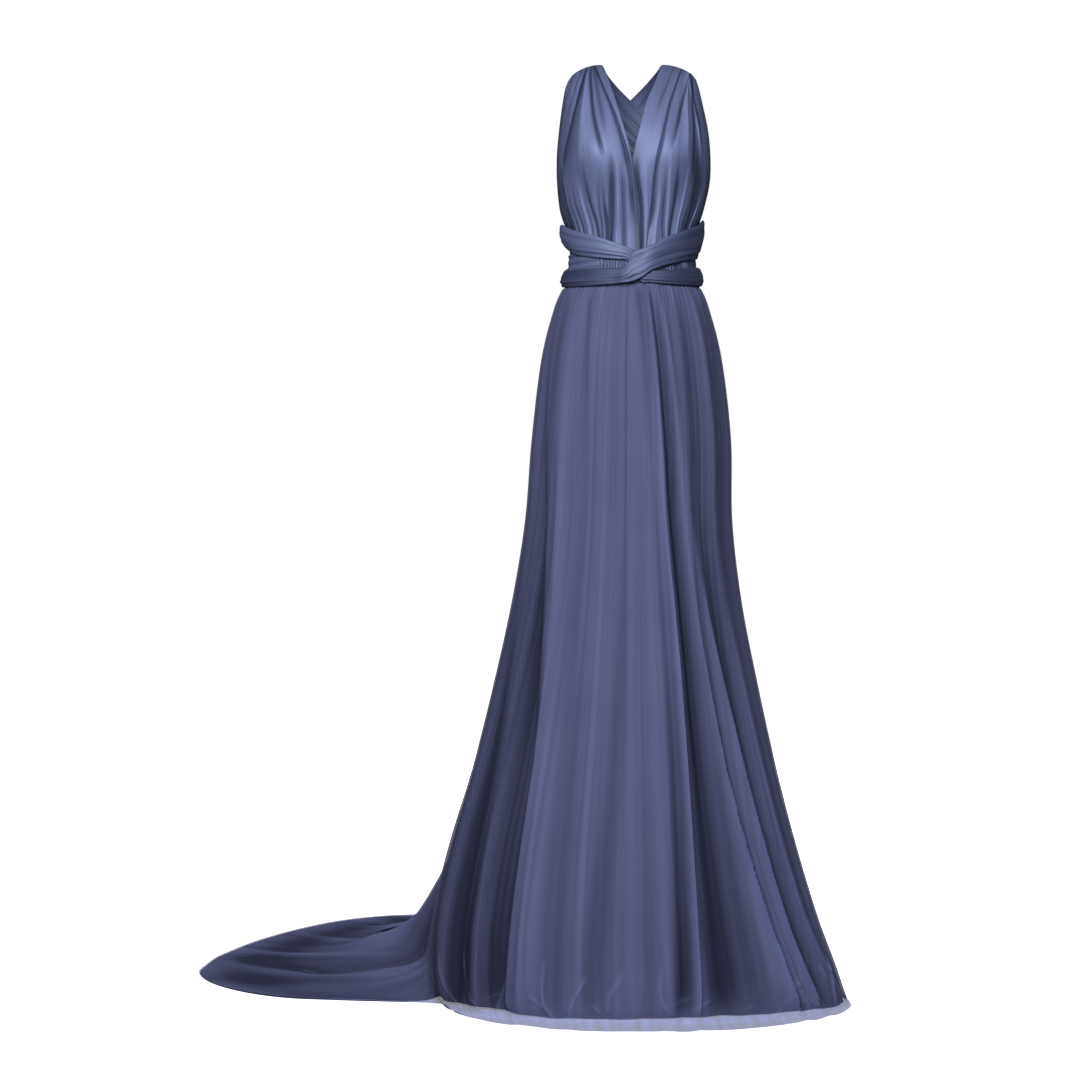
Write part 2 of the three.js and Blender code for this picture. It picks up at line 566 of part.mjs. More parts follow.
// Sections of the left strap from the shoulder down the back to the right of the waist: its
// upper edge and its lower edge. The right strap is its mirror image, and lies over it.
const BACK_STRAP = [
  { topX: -48, topY: 18.5, topZ: 1540, lowX: -103, lowY: 29.5, lowZ: 1515, arch: 5 },
  { topX: -41, topY: 54, topZ: 1534, lowX: -101, lowY: 57, lowZ: 1496, arch: 3 },
  { topX: -24, topY: 86, topZ: 1519, lowX: -87, lowY: 85, lowZ: 1462, arch: 1 },
  { topX: 3, topY: 104, topZ: 1495, lowX: -54, lowY: 104, lowZ: 1418, arch: 0 },
  { topX: 38, topY: 109, topZ: 1463, lowX: -8, lowY: 106, lowZ: 1376, arch: 0 },
  { topX: 71, topY: 99, topZ: 1413, lowX: 42, lowY: 95, lowZ: 1325, arch: 0 },
  { topX: 95, topY: 76, topZ: 1353, lowX: 80, lowY: 71, lowZ: 1270, arch: 0 },
  { topX: 108, topY: 49, topZ: 1302, lowX: 96, lowY: 46, lowZ: 1234, arch: 0 },
  { topX: 109, topY: 32.6, topZ: 1278, lowX: 100.2, lowY: 30.2, lowZ: 1222, arch: 0 },
];
const CROSSING_ROW = 3.6;
const CROSSING_LIFT = 7;
const STRAP_GATHERS = 6;
const STRAP_GATHER_DEPTH = 1.3;

function strapSurface(toSide, liftAtCrossing) {
  return (across, along) => {
    const row = along * (BACK_STRAP.length - 1);
    const at = (edge) => curve(BACK_STRAP, edge, row);
    const away = (row - CROSSING_ROW) / 1.9;
    const lift = liftAtCrossing * Math.exp(-(away ** 4));
    const hollow = 4 * across * (1 - across);
    const gathers = Math.sin(2 * Math.PI * STRAP_GATHERS * (across + 0.04 * Math.sin(9 * along)));
    const ends = smooth(along / 0.06) * smooth((1 - along) / 0.06);
    const back = lift + hollow * (5 * ends + STRAP_GATHER_DEPTH * gathers);
    return new THREE.Vector3(
      toSide * mix(at('topX'), at('lowX'), across),
      mix(at('topY'), at('lowY'), across) + back,
      mix(at('topZ'), at('lowZ'), across) + at('arch') * archShape(across),
    );
  };
}

sheet('back_strap_left', strapSurface(1, 0), 12, 15, 1);
sheet('back_strap_right', strapSurface(-1, CROSSING_LIFT), 12, 15, -1);

export default dress;
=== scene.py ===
# Multiway dress: gathered jersey straps over a jersey lining and a sheer tulle overskirt.
import bpy
import math
import numpy as np
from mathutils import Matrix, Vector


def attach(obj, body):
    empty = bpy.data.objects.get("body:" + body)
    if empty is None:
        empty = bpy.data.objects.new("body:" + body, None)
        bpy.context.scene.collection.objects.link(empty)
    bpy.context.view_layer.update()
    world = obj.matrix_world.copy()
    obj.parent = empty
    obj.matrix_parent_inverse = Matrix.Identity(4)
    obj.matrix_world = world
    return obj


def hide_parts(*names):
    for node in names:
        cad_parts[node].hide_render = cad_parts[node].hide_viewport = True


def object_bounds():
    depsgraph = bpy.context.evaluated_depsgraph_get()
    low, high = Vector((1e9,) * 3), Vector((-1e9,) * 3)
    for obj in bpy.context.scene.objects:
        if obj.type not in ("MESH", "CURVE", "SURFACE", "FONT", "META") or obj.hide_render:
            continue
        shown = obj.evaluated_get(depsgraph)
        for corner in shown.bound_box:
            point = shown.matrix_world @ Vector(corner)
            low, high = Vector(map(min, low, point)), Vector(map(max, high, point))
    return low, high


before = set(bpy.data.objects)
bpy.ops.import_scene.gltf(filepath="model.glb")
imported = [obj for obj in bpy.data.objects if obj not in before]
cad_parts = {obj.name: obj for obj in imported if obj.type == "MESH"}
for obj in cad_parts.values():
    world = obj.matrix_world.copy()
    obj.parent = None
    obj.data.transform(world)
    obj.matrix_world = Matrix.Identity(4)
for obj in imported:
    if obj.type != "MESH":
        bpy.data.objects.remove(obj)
cadBox = [list(corner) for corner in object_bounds()]
floorZ = cadBox[0][2]

# sizes below are in millimetres above the floor, and become metres in the frame here
millimetre = 0.001


def toFrame(points):
    placed = np.asarray(points, float) * millimetre
    placed[..., 2] += floorZ
    return placed


def clamp(t):
    return np.clip(t, 0.0, 1.0)


def mix(a, b, t):
    return a + (b - a) * t


def smooth(t):
    s = clamp(t)
    return s * s * (3 - 2 * s)


def curve(table, column, row):
    # the value of one named column at fractional rows, on a smooth curve
    values = np.array([r[table["columns"].index(column)] for r in table["rows"]], float)
    last = len(values) - 1
    row = np.asarray(row, float)
    i = np.clip(np.floor(row).astype(int), 0, last - 1)
    t = row - i
    before = values[np.maximum(i - 1, 0)]
    start = values[i]
    end = values[i + 1]
    after = values[np.minimum(i + 2, last)]
    bend = 2 * before - 5 * start + 4 * end - after
    turn = 3 * start - before - 3 * end + after
    return 0.5 * (2 * start + (end - before) * t + bend * t * t + turn * t ** 3)


def reader(table, row):
    # reads any column of a table at these rows
    return lambda column: curve(table, column, row)


def easedPath(path, marks, place, reach):
    # a path of values at marks, with its corners eased; one that stops early keeps its last value
    path = path + path[-1:] * (len(marks) - len(path))
    return sum(share * np.interp(place + step, marks, path)
               for step, share in ((-reach, 0.25), (0, 0.5), (reach, 0.25)))


def unit(vectors):
    return vectors / np.maximum(np.linalg.norm(vectors, axis=-1, keepdims=True), 1e-9)


def normalOf(surface, u, v, du, dv):
    alongU = surface(u + du, v) - surface(u - du, v)
    alongV = surface(u, v + dv) - surface(u, v - dv)
    return unit(np.cross(alongU, alongV))


def ripple(u, v, seed):
    # smooth uneven waves between about -1 and 1, the same each run
    rng = np.random.default_rng(seed)
    total = 0.0
    weight = 0.0
    for octave in range(3):
        for _ in range(3):
            turn = rng.uniform(0, 2 * math.pi)
            phase = rng.uniform(0, 2 * math.pi)
            pitch = 2.0 ** octave * rng.uniform(0.8, 1.25)
            wave = np.sin(pitch * (u * math.cos(turn) + v * math.sin(turn)) + phase)
            total = total + wave / 2 ** octave
            weight += 0.6 / 2 ** octave
    return total / weight


def addPiece(obj, slot, *nodes):
    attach(obj, "root")
    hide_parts(*nodes)


def gridMesh(name, points, material, deep, closed=False, capped=False):
    # a smooth sheet over rows and columns of points, with a metric UV map for its weave, one
    # that hangs with its rows and columns, and its painted shade: 0 on a ridge, 1 far down in
    # the gathers, and below 0 where it is single, for the painted light getting through
    rows, columns = points.shape[:2]
    placed = toFrame(points)
    mesh = bpy.data.meshes.new(name)
    spans = columns if closed else columns - 1
    r, c = np.meshgrid(np.arange(rows - 1), np.arange(spans), indexing="ij")
    nextC = (c + 1) % columns
    corners = np.stack([r * columns + c, r * columns + nextC,
                        (r + 1) * columns + nextC, (r + 1) * columns + c], -1).reshape(-1, 4)
    # its faces look away from the body's axis
    flat = placed.reshape(-1, 3)
    sides = flat[corners[:, 2]] - flat[corners[:, 0]], flat[corners[:, 3]] - flat[corners[:, 1]]
    away = flat[corners].mean(1) * (1, 1, 0)
    if closed and capped:
        away = flat[corners].mean(1) - placed.mean(1)[corners[:, 0] // columns]
    if (np.cross(*sides) * away).sum() < 0:
        corners = corners[:, ::-1]
    mesh.from_pydata(flat.tolist(), [], corners.tolist())
    across = np.linalg.norm(np.diff(placed, axis=1), axis=2)
    down = np.linalg.norm(np.diff(placed, axis=0), axis=2)
    u = np.concatenate([np.zeros((rows, 1)), np.cumsum(across, 1)], 1)
    u -= u[:, columns // 2:columns // 2 + 1]
    v = np.concatenate([np.zeros((1, columns)), np.cumsum(down, 0)], 0)
    wide = np.ptp(u, axis=1).max()
    long = v[-1].max()
    hangU, hangV = np.meshgrid(spread(columns) * wide, spread(rows) * long)
    for layer, across, down in (("weave", u, v), ("hang", hangU, hangV)):
        pair = np.stack([across, down], -1).reshape(-1, 2)
        mesh.uv_layers.new(name=layer).data.foreach_set("uv", pair[corners.reshape(-1)].reshape(-1))
    paintedShadeLayer = mesh.attributes.new("deep", "FLOAT", "POINT")
    paintedShadeValues = np.clip(np.broadcast_to(deep, (rows, columns)), -1.0, 1.0)
    paintedShadeLayer.data.foreach_set("value", paintedShadeValues.reshape(-1).astype(np.float32))
    mesh.update()
    mesh.polygons.foreach_set("use_smooth", np.ones(len(corners), bool))
    mesh.materials.append(material)
    obj = bpy.data.objects.new(name, mesh)
    bpy.context.scene.collection.objects.link(obj)
    return obj


def thicken(obj, wall):
    # gives a sheet its wall, inwards from its outer face
    bpy.ops.object.select_all(action="DESELECT")
    bpy.context.view_layer.objects.active = obj
    obj.select_set(True)
    shell = obj.modifiers.new("wall", "SOLIDIFY")
    shell.thickness = wall * millimetre
    shell.offset = -1
    shell.use_even_offset = False
    bpy.ops.object.modifier_apply(modifier="wall")


def spread(count, low=0.0, high=1.0):
    return np.linspace(low, high, count)


def linearColour(code):
    parts = [int(code[i:i + 2], 16) / 255 for i in (1, 3, 5)]
    return [p / 12.92 if p <= 0.04045 else ((p + 0.055) / 1.055) ** 2.4 for p in parts] + [1.0]


def addNode(material, kind, settings=None, links=None, **sockets):
    # adds one node, sets its properties and sockets, and links its inputs
    node = material.node_tree.nodes.new("ShaderNode" + kind)
    for key, value in (settings or {}).items():
        setattr(node, key, value)
    for key, value in sockets.items():
        node.inputs[key.replace("_", " ")].default_value = value
    for key, source in (links or {}).items():
        material.node_tree.links.new(source, node.inputs[key])
    return node


# pitches, lengths and depths in millimetres, clouds of dye in each metre; real ribs of about
# 0.6 and net holes of about 1.2 are too fine to show, so both are drawn coarser
# ridge and worn are the dye's two uneven tones; deep is the colour of the painted shade in gathers
# and troughs, and sheer is the tulle's painted paler colour where light gets through a single net
jerseyLook = {
    "ridge": "#606991", "worn": "#677099", "deep": "#262b45", "clouds": 14.0,
    "ribPitch": 1.8, "coursePitch": 2.34, "knitDepth": 0.04,
    "streak": 0.24, "streakPitch": 5, "streakLength": 90,
    "rough": 0.6, "gloss": 0.8, "glossTint": "#c3d0f5", "bend": 1.62,
}
liningLook = {
    **jerseyLook, "ridge": "#5e6286", "worn": "#63678b", "deep": "#222639",
    "streak": 0.16, "streakPitch": 14, "streakLength": 500, "rough": 0.75, "gloss": 0.15,
}
tulleLook = {
    "ridge": "#5d6187", "worn": "#62668c", "deep": "#282c42", "sheer": "#6d7cbc", "clouds": 9.0,
    "netPitch": 2.2, "netDepth": 0.02, "alpha": 0.8,
    "streak": 0.2, "streakPitch": 8, "streakLength": 260,
    "rough": 0.8, "gloss": 0.15, "sheen": 0.02, "sheenTint": "#aab0d4", "bend": 1.5,
}


def newMaterial(name):
    material = bpy.data.materials.new(name)
    material.use_nodes = True
    material.node_tree.nodes.clear()
    return material


def knitPattern(material, pitch, turn):
    # thin ribs along the cloth's own threads; the wave repeats every 2 pi / 20 at scale 1
    place = addNode(material, "UVMap", {"uv_map": "weave"})
    scaled = addNode(material, "Mapping", {}, {"Vector": place.outputs["UV"]},
                     Rotation=(0, 0, turn))
    return addNode(material, "TexWave", {"wave_type": "BANDS", "bands_direction": "X"},
                   {"Vector": scaled.outputs["Vector"]},
                   Scale=2 * math.pi / 20 / (pitch * millimetre), Distortion=1.2,
                   Detail=1.0, Detail_Scale=2.0)


def addRamp(material, source, *stops):
    # colours a factor from one stop to the next
    ramp = addNode(material, "ValToRGB", {}, {"Fac": source.outputs["Fac"]})
    for element, (place, colour) in zip(ramp.color_ramp.elements, stops):
        element.position = place
        element.color = colour
    return ramp


def clothTone(material, look):
    # a slightly uneven dye, with painted shade down in the gathers
    place = addNode(material, "TexCoord")
    cloud = addNode(material, "TexNoise", {}, {"Vector": place.outputs["Object"]},
                    Scale=look["clouds"], Detail=3.0, Roughness=0.55)
    dye = addRamp(material, cloud, (0.3, linearColour(look["ridge"])),
                  (0.7, linearColour(look["worn"])))
    # the painted shade carried by the mesh: shade above 0, painted light through a single net below
    # 0
    paintedShadeAndLight = addNode(material, "Attribute", {"attribute_name": "deep"})
    cloth = addNode(material, "MixRGB", {},
                    {"Fac": paintedShadeAndLight.outputs["Fac"], "Color1": dye.outputs["Color"]},
                    Color2=linearColour(look["deep"]))
    if "sheer" in look:
        # paler and bluer where the light gets through a single net
        through = addNode(material, "MapRange", {}, {"Value": paintedShadeAndLight.outputs["Fac"]},
                          From_Min=0.0, From_Max=-1.0, To_Min=0.0, To_Max=1.0)
        cloth = addNode(material, "MixRGB", {},
                        {"Fac": through.outputs["Result"], "Color1": cloth.outputs["Color"]},
                        Color2=linearColour(look["sheer"]))
    # long faint streaks where the threads lie closer, a few millimetres across
    hang = addNode(material, "UVMap", {"uv_map": "hang"})
    drawn = addNode(material, "Mapping", {}, {"Vector": hang.outputs["UV"]},
                    Scale=(1000 / look["streakPitch"], 1000 / look["streakLength"], 1))
    streak = addNode(material, "TexNoise", {}, {"Vector": drawn.outputs["Vector"]},
                     Scale=1.0, Detail=4.0, Roughness=0.6)
    shade = addRamp(material, streak, (0.25, (1 - look["streak"],) * 3 + (1,)), (0.75, (1, 1, 1, 1)))
    return addNode(material, "MixRGB", {"blend_type": "MULTIPLY"},
                   {"Color1": cloth.outputs["Color"], "Color2": shade.outputs["Color"]}, Fac=1.0)


def makeJersey(name, look):
    # matte stretch jersey: soft, with a faint fine rib and a dull glow on its folds
    material = newMaterial(name)
    tone = clothTone(material, look)
    ribs = knitPattern(material, look["ribPitch"], 0.0)
    courses = knitPattern(material, look["coursePitch"], math.pi / 2)
    knit = addNode(material, "Math", {"operation": "MULTIPLY"},
                   {0: ribs.outputs["Fac"], 1: courses.outputs["Fac"]})
    bump = addNode(material, "Bump", {}, {"Height": knit.outputs[0]},
                   Strength=0.25, Distance=look["knitDepth"] * millimetre)
    shader = addNode(material, "BsdfPrincipled", {},
                     {"Base Color": tone.outputs["Color"], "Normal": bump.outputs["Normal"]},
                     Roughness=look["rough"], IOR=look["bend"], Specular_IOR_Level=look["gloss"],
                     Specular_Tint=linearColour(look["glossTint"]))
    addNode(material, "OutputMaterial", {}, {"Surface": shader.outputs["BSDF"]})
    return material


def makeTulle(name, look):
    # sheer hexagonal net: an even veil, with painted shade in its troughs and painted highlights
    # along the folds laid over on themselves
    material = newMaterial(name)
    tone = clothTone(material, look)
    threads = addNode(material, "UVMap", {"uv_map": "weave"})
    net = addNode(material, "TexVoronoi", {"feature": "DISTANCE_TO_EDGE"},
                  {"Vector": threads.outputs["UV"]}, Scale=1000 / look["netPitch"], Randomness=0.15)
    bump = addNode(material, "Bump", {"invert": True}, {"Height": net.outputs["Distance"]},
                   Strength=0.05, Distance=look["netDepth"] * millimetre)
    shader = addNode(material, "BsdfPrincipled", {},
                     {"Base Color": tone.outputs["Color"], "Normal": bump.outputs["Normal"]},
                     Roughness=look["rough"], IOR=look["bend"], Alpha=look["alpha"],
                     Specular_IOR_Level=look["gloss"], Sheen_Weight=look["sheen"],
                     Sheen_Roughness=0.3, Sheen_Tint=linearColour(look["sheenTint"]))
    addNode(material, "OutputMaterial", {}, {"Surface": shader.outputs["BSDF"]})
    return material


jersey = makeJersey("viscose jersey, knitted", jerseyLook)
liningJersey = makeJersey("viscose jersey, matte lining", liningLook)
tulle = makeTulle("nylon tulle, fine net", tulleLook)
print("materials made")


# the skirts keep the solids' sections and main folds, and add the finer ones; each row is a
# level, from the waist down: its height in front and on the train, its half widths and depths,
# and its sweep to the side and to the back
skirt = {
    "columns": ("front", "train", "left", "right", "fore", "aft", "toSide", "toBack"),
    "rows": [
        (1172, 1172, 112, 111, 84, 86, 0, 0),
        (1138, 1138, 128, 126, 93, 97, 0, 0),
        (1054, 1054, 149, 147, 104, 113, 0, 0),
        (923, 923, 165, 162, 113, 130, 0, 0),
        (790, 790, 176, 164, 120, 148, 0, 4),
        (660, 660, 197, 179, 133, 170, 0, 14),
        (530, 530, 226, 204, 148, 190, 2, 40),
        (398, 398, 260, 233, 164, 208, 8, 92),
        (267, 267, 298, 266, 180, 225, 38, 175),
        (150, 150, 324, 300, 190, 238, 100, 300),
        (70, 70, 330, 328, 196, 246, 170, 440),
        (25, 25, 326, 344, 201, 252, 260, 560),
        (4, 3, 316, 354, 208, 256, 360, 640),
        (1, 3, 306, 358, 256, 262, 462, 716),
    ],
    # how far the tulle stands off the lining
    "room": {"waist": 1.3, "knee": 2.0, "hem": 3.5, "train": 0.6},
}
skirtEnd = len(skirt["rows"]) - 1
onFloor = skirtEnd - 1
hemLevel = 11

# ridges and troughs: the angle from the front centre, positive to the viewer's left, at each
# of the fold levels, then the level where it starts, its depth, half width and lean, and for
# some the levels where it's at its full depth and where it ends
foldLevels = (0, 3, 5, 7, 9, 11, 13)
mainFolds = [
    ((-2, -4, -4, -3, -1, 1, 2), 1, 3, 7, 0), ((5, 4, 3.5, 6, 11.5, 14, 16), 1, -4.5, 3.5, 0),
    ((-3, -7, -10.5, -11, -10, -8.5, -8), -1, 5, 5, 0),
    ((-12.5, -20.5, -27.5, -26.5, -25.5, -24.5, -24), -2, -17, 5, -0.2),
    ((-6, -12, -16.4, -16.8, -15, -13, -12.4), 2, -10, 2.4, 0.2),
    ((-8.5, -15, -20.2, -20.6, -18.2, -16.2, -15.4), 2, 5, 1.4, 0),
    ((-17, -24, -31.5, -31, -32, -33, -35), 3, -5.5, 7, -0.2),
    ((-24, -29, -33.5, -36, -43, -47, -49), 2.5, 9, 3, 0.2),
    ((-30, -34.5, -37.5, -41, -47, -51, -54), 1, -6, 3, 0),
    ((-12, -28, -40.5, -46, -51, -56, -60), 0, 9, 3.4, 0.1),
    ((-33, -38, -49.5, -52, -58, -64, -68), 1, -10, 5, 0),
    ((-56, -58, -59.5, -62, -66, -76, -84), 2, 7, 4, 0),
    ((-68, -68, -68, -69, -73, -84, -92), 2, -4, 5, 0),
    ((-80, -79, -76, -76, -79, -88, -96), 3, 4, 6, -0.2),
    ((20, 18, 16, 15, 18, 20, 21), 2, 3, 5, 0), ((40, 26, 29.5, 24, 22, 23, 24), 1, -4, 3, 0),
    ((55, 48, 41, 34.5, 33.2, 34.5, 36.5), 0, 7, 4, -0.3),
    ((76, 65, 51, 40.2, 38.8, 41, 43.5), -1, -16, 5, 0.4),
    ((84, 76, 66, 60, 58, 59, 61), 2, -9, 14, 0), ((88, 80, 68, 54, 50.5, 51.5, 53), 3, 7, 4, 0),
    ((94, 88, 78, 64, 62, 64, 66), 3, -9, 4.5, 0), ((100, 94, 86, 74, 71, 72, 73), 4, 5, 5, 0),
    ((104, 101, 96, 90, 84, 80), 4, -5, 5, 0), ((103, 103, 105, 108, 110, 112), 3, -9, 7, 0.1),
    ((118, 118, 121, 124, 125, 126), 1, 10, 7, -0.2),
    ((133, 133, 136, 139, 140, 141), 2, -10, 6, 0), ((148, 148, 150, 152, 153, 154), 0, 11, 7, 0.2),
    ((165, 165, 166, 167, 168), 1, -12, 6, -0.1), ((180, 180, 180, 181, 182), 0, 9, 7, 0),
    ((196, 196, 196, 195), 2, -10, 6, 0.2), ((211, 211, 211, 210, 210, 209), 1, 11, 7, -0.1),
    ((227, 227, 227, 226, 225, 224), 2, -9, 6, 0), ((243, 243, 243, 243, 242, 241), 1, 10, 8, 0.2),
    ((260, 260, 261, 262, 262, 261), 3, -8, 7, -0.2),
]
# the lining's narrower folds, laid beside the main ones
softFolds = [
    ((-12.5, -19, -26, -26.5, -26, -25, -24), -0.5, -7, 2.6, -0.3, 2, 8),
    ((-8.5, -15, -20.4, -20.2, -17.8, -16, -15.4), 0, 4, 2.2, 0, 2.5, 8),
    ((-36, -42, -49, -51, -56, -62, -67), 0, -7, 9, 0, 2.5, 8),
    ((-66, -65, -64), 0.5, -6, 10, 0, 2.5, 6.5), ((40, 28, 29), 0, -2.6, 2.6, 0, 1.5, 7),
    ((5, 3.2, 4.5, 6), 0.5, -2.4, 2, 0, 2, 8), ((14, 12), 0, -1.6, 2.4, 0, 1.4, 6),
    ((50, 46, 42, 40), 0, 2, 4, 0, 1.5, 6), ((62, 60, 57, 50, 48), 0, -4, 5, 0, 1.8, 7),
    ((-18, -25, -33, -38, -40), 0.3, 4.5, 2.6, 0, 2, 6),
    ((-52, -53, -55, -57, -62, -70, -76), 0.2, 2.4, 3, 0, 1.6, 6),
    ((-4, -10, -14), 0, -4.5, 3, 0, 0.8, 4),
    ((-6, -11, -15.6, -16, -14.2, -12.6, -12), 3, -8, 2, 0), ((26, 20, 18), 0, 1.6, 3, 0, 1, 4),
    ((-4, -1.2, -1.5, -3, -4), 0, -1.6, 2, 0), ((22, 20, 18.5, 18.8, 18.5, 18), 3.5, -2.4, 1.8, 0),
    ((30, 29, 28, 26.8, 24.8, 24.8, 25), 4.5, -2.6, 2, 0),
    ((-6, -7, -8, -8, -7, -8, -9), 6, -2, 1.8, 0), ((3, 3, 3, 3, 3.6, 8, 9), 6.5, -2, 1.8, 0),
    ((-11, -11, -12, -13, -13, -12), 2, -1.6, 2.4, 0),
    ((12, 10, 10, 11, 15, 17, 19), 2, 1.8, 2.2, 0), ((31, 31, 31, 31, 30, 31, 32), 5, 2, 2.2, 0),
    ((64, 58, 48, 47, 46, 47, 48), 3, -2.4, 2.2, 0.2),
    ((82, 74, 62, 58, 57, 58, 60), 3, -3, 2.4, 0),
    ((-34, -36, -38.5, -38.5, -38.5, -40, -42), 6, 2.4, 2, 0),
    ((-51, -53, -55, -57, -62, -70, -76), 2, 3, 2.2, 0),
    ((-62, -63, -64, -66, -70, -80, -88), 3, -3, 2.2, 0),
    ((-73, -73, -72, -72, -76, -86, -94), 3, 2.6, 2.4, 0),
    ((111, 111, 113, 116, 118, 119), 2, 3, 2.6, 0), ((126, 126, 128, 131, 133, 134), 1, -3, 2.6, 0),
    ((141, 141, 143, 146, 147, 148), 1, 3, 2.6, 0), ((157, 157, 158, 160, 161), 1, -3, 2.4, 0),
    ((172, 172, 173, 174, 175), 1, 3, 2.6, 0), ((189, 189, 188), 1, -3, 2.4, 0),
    ((204, 204, 203, 203, 202), 1, 3, 2.6, 0), ((219, 219, 218, 218, 217), 1, -3, 2.4, 0),
    ((235, 235, 234, 234, 233), 1, 3, 2.8, 0), ((252, 252, 252, 252, 251), 2, -3, 2.8, 0),
]
# the tulle's narrow laid-over folds: the angle at each fold level, then the level where it
# starts, how far it stands out, its half width and how far it lies over to one side
laidFolds = [
    ((-8, -13.5, -19.6, -19.8, -17.7, -16, -15.3), 2.6, 2.4, 0.7, -0.9),
    ((-22, -28, -33, -35.5, -43.5, -47, -49), 4.2, 2.6, 0.8, -2),
    ((-12, -28, -40.5, -46, -51, -56, -60), 4.4, 2.6, 0.8, -2),
    ((-52, -57, -59, -61, -65, -76, -84), 4.6, 2, 0.8, 1.8),
    ((-36, -38, -40, -41, -48, -52, -55), 6.5, 2, 0.8, -1.6),
    ((52, 46, 42, 36.6, 36, 38, 40), 5, 2, 0.8, 1.6),
    ((88, 78, 66, 55, 51, 52, 54), 6.5, 2, 0.8, -1.6),
    ((93, 92, 90.5, 90.3, 95, 109, 112), 6.5, 3, 1.1, 1.6),
    ((88, 87, 85.5, 86, 90, 101, 104), 7, 2.4, 1, 1.4),
    ((118, 118, 122, 128, 130, 131), 5, 3, 1.4, 3),
    ((137, 137, 140, 143, 145, 146), 5.5, 3, 1.4, -3),
    ((152, 152, 154, 156, 157, 158), 5, 3, 1.4, 3), ((169, 169, 170, 171, 172), 6, 3, 1.4, -3),
    ((185, 185, 185, 185, 186), 5, 3, 1.4, 3), ((200, 200, 199), 6, 3, 1.4, -3),
    ((215, 215, 214, 214, 213), 5, 3, 1.4, 3), ((232, 232, 231, 230, 229), 6, 3, 1.4, -3),
    ((247, 247, 247, 247, 246), 5, 3, 1.4, 3),
]


# where the train starts and ends round the hem, in degrees, and how fast it grows and fades
train = {"start": 84, "grows": 30, "end": 224, "fades": 44}


def landed(level):
    # 0 where the cloth hangs, 1 where it lies on the floor
    return smooth((level - 10) / 2.5)


def beforeEnd(angle):
    return 1 - smooth((angle - train["end"]) / train["fades"])


def inTrain(angle):
    return smooth((angle - train["start"]) / train["grows"]) * beforeEnd(angle)


def sideways(angle, level):
    # how much of a level's sweep to the side an angle takes, sooner once it lies on the floor
    swing = mix(smooth((angle - 92) / 55), smooth((angle - train["start"]) / 26), landed(level))
    return swing * (1 - smooth((angle - 128) / 135))


def backwards(angle, level):
    # the same for the sweep to the back
    corner = 0.45 * smooth((angle - 97) / 20) + 0.55 * smooth((angle - 108) / 62)
    return mix(smooth((angle - 94) / 72), corner, landed(level)) * (1 - smooth((angle - 190) / 78))


def skirtBase(angle, level):
    turn = np.radians(angle)
    across, ahead = np.sin(turn), np.cos(turn)
    at = reader(skirt, level)
    half = np.where(across > 0, at("left"), at("right"))
    depth = np.where(ahead > 0, at("fore"), at("aft"))
    x = -half * across - at("toSide") * sideways(angle, level)
    y = -depth * ahead + at("toBack") * backwards(angle, level)
    z = mix(at("front"), at("train"), inTrain(angle))
    return np.stack([x, y, z], -1)


def foldAway(path, angle, level):
    # the angle from a fold's line
    return (angle - easedPath(path, foldLevels, level, 0.7) + 540) % 360 - 180


def settledShare(angle, level):
    # folds sink as the cloth comes to lie on the floor
    return 1 - smooth((level - 10) / 2.2) * mix(0.75, 0.95, inTrain(angle))


def foldDepth(folds, angle, level):
    # the summed depth of a set of folds, pinned at the waist and settled on the floor
    depth = 0.0
    for path, start, deep, wide, lean, *reach in folds:
        full, end = reach or (hemLevel, 2 * skirtEnd)
        away = foldAway(path, angle, level)
        width = wide * np.where(away > 0, 1 + lean, 1 - lean)
        grown = smooth((level - start) / (full - start)) * smooth((end - level) / 2.5)
        depth = depth + deep * grown * np.exp(-(away / width) ** 2)
    return depth * smooth(level / 0.8) * settledShare(angle, level)


def streaks(angle, level, pitch, seed):
    # fine uneven upright ripples, a few degrees apart
    rng = np.random.default_rng(seed)
    total = 0.0
    for _ in range(7):
        cycles = round(360 / (pitch * rng.uniform(0.6, 1.9)))
        turn, drift = rng.uniform(0, 6.28), rng.uniform(-0.3, 0.3)
        total = total + np.sin(np.radians(angle) * cycles + turn + drift * level)
    return total / 2.6


def fineRipple(angle, level):
    # gathers under the waist seam, which open out into faint streaks further down
    gathers = 0.6 * smooth(level / 0.25) * (1 - 0.9 * smooth(level / 1.6))
    hanging = 0.12 * smooth(level / 3)
    waves = gathers * streaks(angle, level, 3.4, 51) + hanging * streaks(angle, level, 5.5, 52)
    return waves * settledShare(angle, level)


